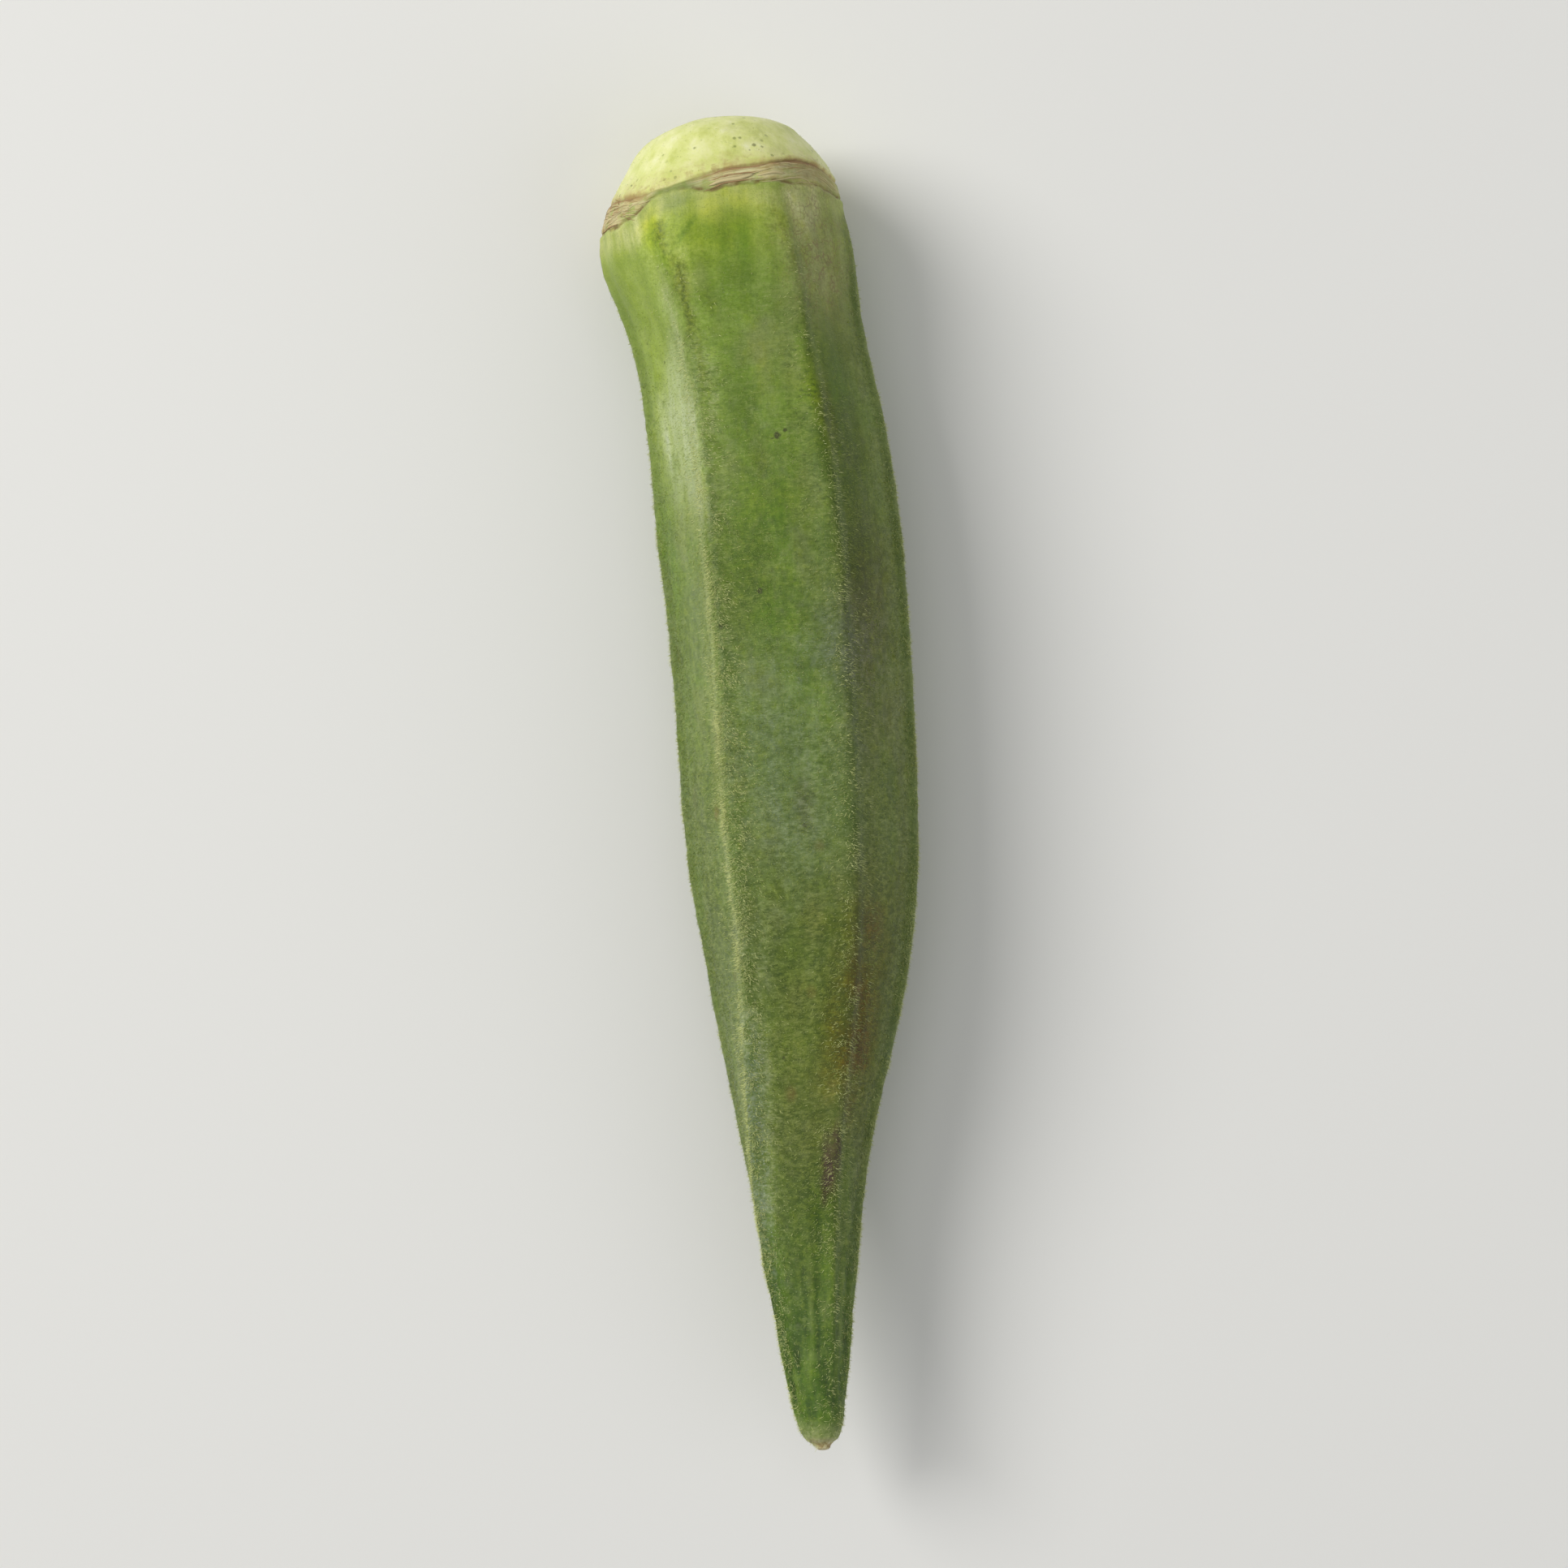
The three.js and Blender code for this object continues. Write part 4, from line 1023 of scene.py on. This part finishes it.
def skin_material():
    g = Graph("okra_skin_fresh")
    mm = g.coords((1, 1, 1))
    mid = g.noise(mm, 0.42, 3, 0.55)
    long_ = g.noise(g.coords((1, 0.10, 1)), 1.1, 3, 0.6)
    thin = g.noise(g.coords((1, 0.06, 1)), 3.0, 2, 0.6)
    fine = g.noise(mm, 3.4, 3, 0.65)
    grain = g.noise(mm, 9.0, 2, 0.6)

    across = g.noise(g.coords((1.1, 4.6, 1.1)), 1.0, 2, 0.6)
    nap = g.noise(g.coords((3.0, 10.5, 3.0), (3, 1, 7)), 1.0, 2, 0.6, 0.6)
    broad = g.noise(g.coords((1, 0.7, 1), (11, 4, 2)), 0.19, 2, 0.5)

    # green of the body: broad mottling, then streaks along the pod
    tone = g.add(g.mul(mid, 0.5), g.add(g.mul(long_, 0.22), g.mul(fine, 0.28)))
    col = g.ramp(tone, [(0.36, (88, 117, 18)), (0.47, (104, 134, 30)), (0.55, (114, 144, 40)), (0.66, (132, 161, 60))])
    col = g.mix(g.map(broad, 0.48, 0.60, 0, 0.7, True), col, lin(86, 114, 18))
    col = g.mix(g.map(broad, 0.46, 0.34, 0, 0.65, True), col, lin(128, 140, 78))
    col = g.mix(g.map(thin, 0.5, 0.72, 0, 0.25), col, lin(96, 120, 34))
    col = g.mix(g.map(across, 0.52, 0.74, 0, 0.42), col, lin(146, 162, 84))
    col = g.mix(g.map(across, 0.46, 0.26, 0, 0.35), col, lin(90, 114, 24))
    # greyer lower down, yellower at the shoulder, brighter near the tip, lighter on the left flank, partly painted
    # light on the side facing the key light
    col = g.mix(g.mul(g.attr("grey"), 0.55), col, g.ramp(tone, [(0.36, (92, 106, 44)), (0.5, (110, 124, 60)), (0.66, (136, 148, 86))]))
    col = g.mix(g.mul(g.attr("yellow"), 0.72), col, g.ramp(tone, [(0.36, (138, 160, 30)), (0.50, (158, 180, 54)), (0.64, (186, 202, 90))]))
    col = g.mix(g.mul(g.attr("flank_tint_and_light"), 0.85), col, g.ramp(tone, [(0.36, (140, 162, 50)), (0.5, (156, 178, 66)), (0.66, (174, 194, 92))]))
    col = g.mix(g.mul(g.attr("fresh"), 0.85), col, g.ramp(g.add(g.mul(g.attr("ribs"), 0.6), g.mul(thin, 0.4)), [(0.30, (72, 108, 12)), (0.46, (100, 138, 32)), (0.58, (122, 154, 54)), (0.72, (158, 178, 98))]))
    col = g.mix(g.mul(g.attr("brown"), 0.72), col, g.ramp(tone, [(0.38, (104, 94, 34)), (0.6, (140, 128, 62))]))
    col = g.mix(g.mul(g.attr("dusky"), 0.85), col, g.ramp(tone, [(0.36, (140, 146, 76)), (0.5, (162, 166, 96)), (0.66, (186, 188, 126))]))
    col = g.mix_mode("MULTIPLY", g.attr("shade"), col, (0.38, 0.44, 0.22, 1.0))
    col = g.mix(g.mul(g.attr("lush"), g.map(fine, 0.3, 0.6, 0.95, 0.6)), col, g.ramp(mid, [(0.36, (84, 116, 14)), (0.62, (106, 140, 26))]))
    col = g.mix(g.mul(g.attr("under"), g.map(mid, 0.34, 0.6, 0.5, 0.95)), col, g.ramp(long_, [(0.38, (168, 180, 92)), (0.6, (196, 202, 124))]))
    # mottled at half a millimetre or so, lighter and darker, yellower and greyer
    grit = g.noise(g.coords((1, 0.8, 1), (8, 3, 5)), 1.9, 4, 0.68)
    hue = g.noise(g.coords((1, 0.75, 1), (2, 6, 1)), 1.15, 4, 0.62)
    mottled = g.map(g.attr("along"), 12, 34, 0.16, 1.0)
    col = g.mix_mode("MULTIPLY", g.mul(g.map(grit, 0.50, 0.30, 0, 0.85), mottled), col, (0.52, 0.58, 0.40, 1.0))
    col = g.mix(g.mul(g.map(grit, 0.52, 0.74, 0, 0.5), mottled), col, lin(158, 174, 92))
    col = g.mix_mode("MULTIPLY", g.mul(g.map(hue, 0.50, 0.68, 0, 0.9), g.add(g.mul(mottled, 0.7), 0.3)), col, (1.0, 1.0, 0.30, 1.0))
    col = g.mix(g.mul(g.map(hue, 0.48, 0.30, 0, 0.42), mottled), col, lin(124, 136, 92))
    # thick down greys the skin and speckles it
    speckle = g.noise(g.coords((1.7, 3.3, 1.7), (5, 9, 2)), 1.0, 2, 0.6, 0.4)
    down = g.attr("down")
    col = g.mix(g.mul(down, 0.28), col, lin(112, 130, 62))
    col = g.mix(g.mul(down, g.map(speckle, 0.52, 0.66, 0, 0.5)), col, lin(146, 160, 92))
    col = g.mix(g.mul(down, g.map(speckle, 0.48, 0.34, 0, 0.7)), col, lin(62, 84, 16))
    # dark streaks under the scar, broken up
    vee = g.mul(g.attr("vee"), g.map(g.noise(g.coords((1, 0.6, 1)), 2.4, 3, 0.65), 0.33, 0.50, 0.25, 1.0))
    col = g.mix(g.mul(vee, 0.84), col, g.ramp(fine, [(0.40, (66, 82, 0)), (0.62, (112, 126, 20))]))
    col = g.mix(g.mul(g.attr("bruise"), g.map(fine, 0.34, 0.56, 0.35, 0.9)), col, lin(92, 70, 56))
    # painted shade darkens the furrows; crests paler, the upper left one partly a painted highlight; both broken by the
    # down
    col = g.mix(g.mul(g.attr("furrow"), g.map(fine, 0.3, 0.62, 0.4, 0.95)), col, lin(66, 90, 14))
    crest_and_highlight = g.mul(g.attr("crest_and_highlight"), g.map(g.noise(g.coords((1, 0.55, 1)), 3.4, 3, 0.7), 0.38, 0.60, 0.1, 0.8))
    col = g.mix(crest_and_highlight, col, lin(166, 180, 104))
    # painted reflection: a pale sweep of glare left of the upper left ridge
    painted_reflection = g.mul(g.attr("painted_reflection"), g.map(g.noise(g.coords((1, 0.3, 1)), 1.3, 3, 0.6), 0.34, 0.6, 0.45, 0.95))
    col = g.mix(g.mul(painted_reflection, 0.8), col, lin(190, 202, 152))
    # pale flecks at the foot of the hairs, and darker pores between them
    vor = g.voronoi(g.coords((1, 1.6, 1)), 3.3)
    fleck = g.mul(g.map(vor.outputs["Distance"], 0.22, 0.06), g.map(g.noise(mm, 0.7, 2, 0.5), 0.40, 0.60, 0.0, 0.6))
    fleck = g.mul(fleck, g.map(g.attr("along"), 10, 30, 0.35, 1.0))
    col = g.mix(fleck, col, lin(176, 192, 132))
    col = g.mix(g.map(grain, 0.54, 0.72, 0, 0.42), col, lin(84, 106, 28))
    downy = g.mul(g.map(g.attr("along"), 10, 26, 0.35, 1.0), g.map(g.attr("along"), 80, 92, 1.0, 0.3))
    downy = g.mul(downy, g.map(g.noise(mm, 0.33, 2, 0.5), 0.38, 0.6, 0.25, 1.0))
    col = g.mix(g.mul(g.map(nap, 0.53, 0.70, 0, 0.42), downy), col, lin(156, 168, 100))
    col = g.mix(g.mul(g.map(nap, 0.47, 0.32, 0, 0.40), downy), col, lin(72, 94, 22))
    # slow changes of colour over the pod: olive and drab, each partly painted shade on the right flank; bluish; and
    # pale painted highlights
    patchy = g.map(mid, 0.34, 0.60, 0.6, 1.15)
    col = g.mix_mode("MULTIPLY", g.mul(g.attr("olive_and_shade"), patchy, True), col, (0.58, 0.72, 0.12, 1.0))
    col = g.mix_mode("MULTIPLY", g.attr("bloom"), col, (0.96, 0.98, 1.60, 1.0))
    col = g.mix_mode("MULTIPLY", g.mul(g.attr("drab_skin_and_shade"), patchy, True), col, (0.80, 0.60, 0.14, 1.0))
    col = g.mix_mode("MULTIPLY", g.attr("dun"), col, (0.95, 0.76, 1.25, 1.0))
    col = g.mix_mode("MULTIPLY", g.mul(g.attr("brassy"), patchy, True), col, (1.0, 1.0, 0.22, 1.0))
    col = g.mix_mode("MULTIPLY", g.mul(g.attr("rusty"), g.map(fine, 0.32, 0.56, 0.4, 1.0), True), col, (1.0, 0.60, 0.30, 1.0))
    # painted highlights: lighter patches where the skin catches the light
    col = g.mix_mode("MULTIPLY", g.mul(g.attr("lit"), g.map(fine, 0.32, 0.60, 0.6, 1.25)), col, (1.55, 1.42, 2.3, 1.0))
    col = g.mix_mode("MULTIPLY", g.mul(g.attr("bruise"), g.map(grain, 0.36, 0.56, 0.6, 1.15), True), col, (0.50, 0.30, 0.62, 1.0))
    # small brown marks
    spot = g.voronoi(g.coords((1, 0.7, 1), (3.1, 7.7, 1.9)), 0.26)
    mark = g.mul(g.map(spot.outputs["Distance"], 0.17, 0.05), g.map(g.noise(mm, 0.23, 1, 0.5), 0.55, 0.64))
    col = g.mix(g.mul(mark, 0.6), col, lin(128, 104, 52))

    # ---- cap ----
    up_streak = g.noise(g.coords((1, 0.28, 1)), 1.3, 3, 0.6)
    cap_tone = g.add(g.mul(g.noise(mm, 0.5, 3, 0.55), 0.6), g.mul(up_streak, 0.4))
    cap = g.ramp(cap_tone, [(0.34, (204, 212, 116)), (0.46, (221, 227, 142)), (0.57, (232, 235, 164)), (0.7, (242, 243, 196))])
    cap = g.mix(g.mul(vee, 0.55), cap, g.ramp(fine, [(0.4, (138, 150, 58)), (0.62, (176, 184, 90))]))
    near_ring = g.map(g.attr("ring_q"), -2.6, -0.7, 0, 1, True)
    cap = g.mix(g.mul(near_ring, g.map(up_streak, 0.38, 0.62, 0.1, 0.7)), cap, lin(206, 202, 126))
    pores = g.voronoi(g.coords((1, 0.8, 1), (0.4, 0.9, 0.1)), 1.05)
    pore_on = g.map(g.noise(mm, 0.45, 2, 0.5), 0.40, 0.56)
    pore = g.mul(g.map(pores.outputs["Distance"], 0.17, 0.09), pore_on)
    cap = g.mix(g.mul(pore, 0.65), cap, lin(118, 130, 48))
    pores2 = g.voronoi(g.coords((1, 1, 1), (5.4, 2.9, 8.1)), 2.3)
    pore2 = g.mul(g.map(pores2.outputs["Distance"], 0.16, 0.07), g.map(g.noise(mm, 0.8, 2, 0.5), 0.5, 0.62))
    cap = g.mix(g.mul(pore2, 0.5), cap, lin(142, 152, 66))
    rust = g.mul(near_ring, g.map(g.noise(mm, 1.4, 3, 0.7), 0.5, 0.68))
    cap = g.mix(g.mul(rust, 0.5), cap, lin(160, 128, 72))
    net = g.voronoi(g.coords((1.1, 1, 1.1), (2, 5, 3)), 2.4, "DISTANCE_TO_EDGE")
    netted = g.mul(g.map(net.outputs["Distance"], 0.14, 0.03), g.map(g.noise(mm, 1.2, 3, 0.6), 0.42, 0.58))
    col = g.mix(g.mul(g.mul(netted, g.attr("dusky")), 0.75), col, lin(126, 108, 68))
    col = g.mix(g.attr("cap"), col, cap)

    # ---- calyx scar: brown line, then torn fibres ----
    q = g.attr("ring_q")
    comb = g.node("ShaderNodeCombineXYZ")
    sep = g.node("ShaderNodeSeparateXYZ")
    g.link(mm, sep.inputs[0])
    g.put(comb.inputs[0], g.mul(sep.outputs[0], 0.45))
    g.put(comb.inputs[1], g.mul(q, 5.2))
    g.put(comb.inputs[2], g.mul(sep.outputs[2], 0.45))
    fibre = g.noise(comb.outputs[0], 1.0, 4, 0.66, 0.5)
    patch = g.noise(mm, 0.8, 3, 0.6)
    scar = g.ramp(fibre, [(0.30, (162, 126, 82)), (0.40, (204, 182, 128)), (0.50, (226, 214, 160)), (0.62, (238, 232, 184)), (0.74, (208, 212, 144))])
    scar = g.mix(g.mul(g.attr("rosy"), 0.8), scar, g.ramp(fibre, [(0.34, (172, 130, 92)), (0.5, (206, 174, 130)), (0.66, (222, 202, 156))]))
    scar = g.mix(g.mul(g.attr("drab"), 0.8), scar, g.ramp(fibre, [(0.34, (186, 150, 112)), (0.5, (222, 198, 154)), (0.66, (238, 224, 182))]))
    # skin shows through here and there
    scar = g.mix(g.map(patch, 0.50, 0.62, 0, 0.7), scar, g.mix(g.attr("drab"), lin(172, 184, 100), lin(196, 184, 132)))
    col = g.mix(g.mul(g.attr("scar"), g.map(patch, 0.22, 0.45, 0.65, 0.95)), col, scar)
    seen = g.attr("scar_faint")
    line = g.math("ABSOLUTE", g.add(q, g.add(0.60, g.map(fibre, 0.3, 0.7, -0.10, 0.10))))
    wander = g.noise(mm, 0.62, 3, 0.6)
    lined = g.attr("lined")
    line = g.mul(g.map(line, 0.30, 0.06), g.map(wander, 0.38, 0.56, 0.45, 1.0))
    col = g.mix(g.mul(g.mul(line, 0.78), lined), col, g.ramp(fibre, [(0.36, (126, 92, 54)), (0.6, (168, 130, 86))]))
    soft = g.math("ABSOLUTE", g.add(q, 0.72))
    col = g.mix(g.mul(g.mul(g.map(soft, 0.60, 0.1), g.map(wander, 0.42, 0.60, 0.0, 0.55)), lined), col, lin(176, 146, 84))
    smudge = g.mul(g.attr("smudge"), g.map(g.noise(mm, 1.3, 4, 0.66), 0.40, 0.58, 0.15, 1.0))
    col = g.mix(g.mul(smudge, 0.75), col, g.ramp(fine, [(0.38, (122, 88, 54)), (0.62, (166, 134, 92))]))
    ruddy = g.map(g.noise(mm, 0.9, 3, 0.6), 0.42, 0.58, 0.35, 1.0)
    col = g.mix_mode("MULTIPLY", g.mul(g.mul(g.attr("drab"), g.attr("scar")), ruddy), col, (1.45, 1.22, 1.18, 1.0))
    low = g.math("ABSOLUTE", g.attr("scar_low"))
    low = g.mul(g.map(low, 0.20, 0.03), g.map(g.noise(mm, 1.1, 3, 0.6), 0.42, 0.6, 0.0, 0.85))
    col = g.mix(g.mul(low, seen), col, lin(122, 100, 52))

    # ---- small dark specks, each at its own place ----
    wobble = g.node("ShaderNodeTexNoise")
    g.link(mm, wobble.inputs["Vector"])
    wobble.inputs["Scale"].default_value = 4.0
    bend = g.node("ShaderNodeVectorMath", operation="SCALE")
    g.link(wobble.outputs["Color"], bend.inputs[0])
    bend.inputs["Scale"].default_value = 0.30
    where = g.node("ShaderNodeVectorMath", operation="ADD")
    g.link(mm, where.inputs[0])
    g.link(bend.outputs[0], where.inputs[1])
    for at, deg, size, strength in SPECKS:
        th = np.radians([float(deg)])
        ss = np.array([float(at)])
        c, _a = place(ss, th, fields(ss, th)["r"])
        away = g.node("ShaderNodeVectorMath", operation="DISTANCE")
        g.link(where.outputs[0], away.inputs[0])
        away.inputs[1].default_value = [float(v) + 0.15 for v in c[0]]
        col = g.mix(g.map(away.outputs["Value"], size * 1.15, size * 0.55, 0, strength, True), col, lin(58, 62, 22))

    # ---- cut stalk face ----
    cr = g.attr("cut_r")
    speck = g.noise(mm, 3.4, 3, 0.7)
    pith = g.ramp(speck, [(0.36, (196, 190, 140)), (0.55, (226, 222, 180)), (0.7, (238, 236, 204))])
    wood = g.ramp(g.noise(mm, 5.5, 2, 0.6), [(0.38, (168, 158, 98)), (0.5, (200, 196, 138)), (0.66, (222, 220, 172))])
    rind = g.ramp(speck, [(0.4, (150, 166, 84)), (0.62, (184, 194, 114))])
    face = g.mix(g.map(cr, 1.35, 1.75, 0, 1, True), pith, wood)
    ringed = g.map(g.math("ABSOLUTE", g.add(cr, -1.62)), 0.22, 0.05)
    face = g.mix(g.mul(ringed, 0.55), face, lin(150, 142, 78))
    face = g.mix(g.map(cr, 2.7, 3.0, 0, 1, True), face, rind)
    edge = g.map(g.math("ABSOLUTE", g.add(cr, -3.32)), 0.16, 0.02)
    face = g.mix(g.mul(edge, g.map(speck, 0.4, 0.6, 0.2, 0.8)), face, lin(146, 116, 66))
    dry = g.map(g.noise(mm, 1.2, 3, 0.6), 0.52, 0.7, 0, 0.5)
    face = g.mix(dry, face, lin(176, 150, 96))
    col = g.mix(g.map(g.attr("cut"), 0.2, 0.6), col, face)

    # ---- dried end of the tip ----
    tip_col = g.ramp(g.noise(mm, 2.6, 3, 0.7), [(0.36, (142, 114, 74)), (0.5, (190, 172, 124)), (0.64, (222, 212, 172))])
    col = g.mix(g.mul(g.attr("pale_end"), 0.6), col, g.ramp(fine, [(0.38, (136, 152, 84)), (0.6, (178, 186, 126))]))
    col = g.mix(g.mul(g.attr("tip"), 0.85), col, tip_col)

    g.link(col, g.bsdf.inputs["Base Color"])

    rough = g.map(g.add(g.mul(fine, 0.6), g.mul(mid, 0.4)), 0.35, 0.65, 0.44, 0.60)
    rough = g.mix_value(rough, g.map(speck, 0.3, 0.7, 0.38, 0.5), g.attr("cap"))
    rough = g.mix_value(rough, 0.75, g.attr("scar"))
    rough = g.mix_value(rough, 0.8, g.map(g.attr("cut"), 0.2, 0.6))
    g.link(rough, g.bsdf.inputs["Roughness"])
    g.bsdf.inputs["Sheen Weight"].default_value = 0.05
    g.bsdf.inputs["Sheen Roughness"].default_value = 0.5
    g.bsdf.inputs["Subsurface Weight"].default_value = 0.12
    g.bsdf.inputs["Subsurface Radius"].default_value = (0.9, 1.0, 0.3)
    g.bsdf.inputs["Subsurface Scale"].default_value = 0.0006
    g.bsdf.inputs["Specular IOR Level"].default_value = 0.36

    # fine skin: pimples at the hair roots, hairline streaks, torn fibres on the scar
    h = g.add(g.mul(g.map(vor.outputs["Distance"], 0.0, 0.35, 1, 0), 0.35), g.mul(fine, 0.6))
    h = g.add(h, g.mul(thin, 0.5))
    h = g.add(h, g.mul(g.mul(fibre, g.attr("scar")), 1.6))
    h = g.add(h, g.mul(g.mul(pore, g.attr("cap")), -0.8))
    bump = g.node("ShaderNodeBump")
    bump.inputs["Strength"].default_value = 0.55
    bump.inputs["Distance"].default_value = 0.00007
    g.link(h, bump.inputs["Height"])
    g.link(bump.outputs[0], g.bsdf.inputs["Normal"])
    return g.mat


def _mix_value(self, a, b, fac):
    n = self.node("ShaderNodeMix", data_type="FLOAT")
    self.put(n.inputs[0], fac)
    self.put(n.inputs[2], a)
    self.put(n.inputs[3], b)
    return n.outputs[0]


Graph.mix_value = _mix_value
body.data.materials.append(skin_material())


# =====================================================================================
# Floor, light and camera
# =====================================================================================
def stage_floor():
    me = bpy.data.meshes.new("floor")
    h = 3.0
    me.from_pydata([(-h, -h, -0.00002), (h, -h, -0.00002), (h, h, -0.00002), (-h, h, -0.00002)], [], [(0, 1, 2, 3)])
    ob = bpy.data.objects.new("floor", me)
    bpy.context.scene.collection.objects.link(ob)
    m = plain("floor_pale", (232, 232, 229), 0.6)
    ob.data.materials.append(m)


stage_floor()


def area(name, at, aim, size, power, rgb=(1, 1, 1)):
    light = bpy.data.lights.new(name, "AREA")
    light.shape = "DISK"
    light.size = size
    light.energy = power
    light.color = rgb
    ob = bpy.data.objects.new(name, light)
    ob.location = at
    ob.rotation_euler = (Vector(aim) - Vector(at)).to_track_quat("-Z", "Y").to_euler()
    bpy.context.scene.collection.objects.link(ob)


area("key", (-0.58, 0.36, 0.62), (0, 0, 0.01), 0.55, 6.1, (1.0, 0.985, 0.96))
area("fill", (0.55, -0.25, 0.5), (0, 0, 0.01), 0.7, 1.05, (0.98, 0.99, 1.0))
area("top", (0.02, 0.05, 0.9), (0, 0, 0.01), 0.8, 1.0, (1, 1, 1))

world = bpy.data.worlds.new("studio")
world.use_nodes = True
world.node_tree.nodes["Background"].inputs[0].default_value = (1, 1, 1, 1)
world.node_tree.nodes["Background"].inputs[1].default_value = 0.26
bpy.context.scene.world = world

scene = bpy.context.scene
scene.view_settings.view_transform = "Standard"
scene.view_settings.look = "None"

cam_data = bpy.data.cameras.new("camera")
cam_data.lens = 187.0
cam_data.sensor_width = 36.0
cam_data.clip_start = 0.01
cam_data.clip_end = 20
cam = bpy.data.objects.new("camera", cam_data)
scene.collection.objects.link(cam)
eye = Vector((0.0407, -0.0340, 0.620))
target = Vector((0.0004, -0.0002, 0.008))
back = (eye - target).normalized()
photo_up = Vector((0.0711, 0.99745, 0.0))
right = photo_up.cross(back).normalized()
up = back.cross(right).normalized()
cam.matrix_world = Matrix((
    (right.x, up.x, back.x, eye.x),
    (right.y, up.y, back.y, eye.y),
    (right.z, up.z, back.z, eye.z),
    (0, 0, 0, 1)))
scene.camera = cam
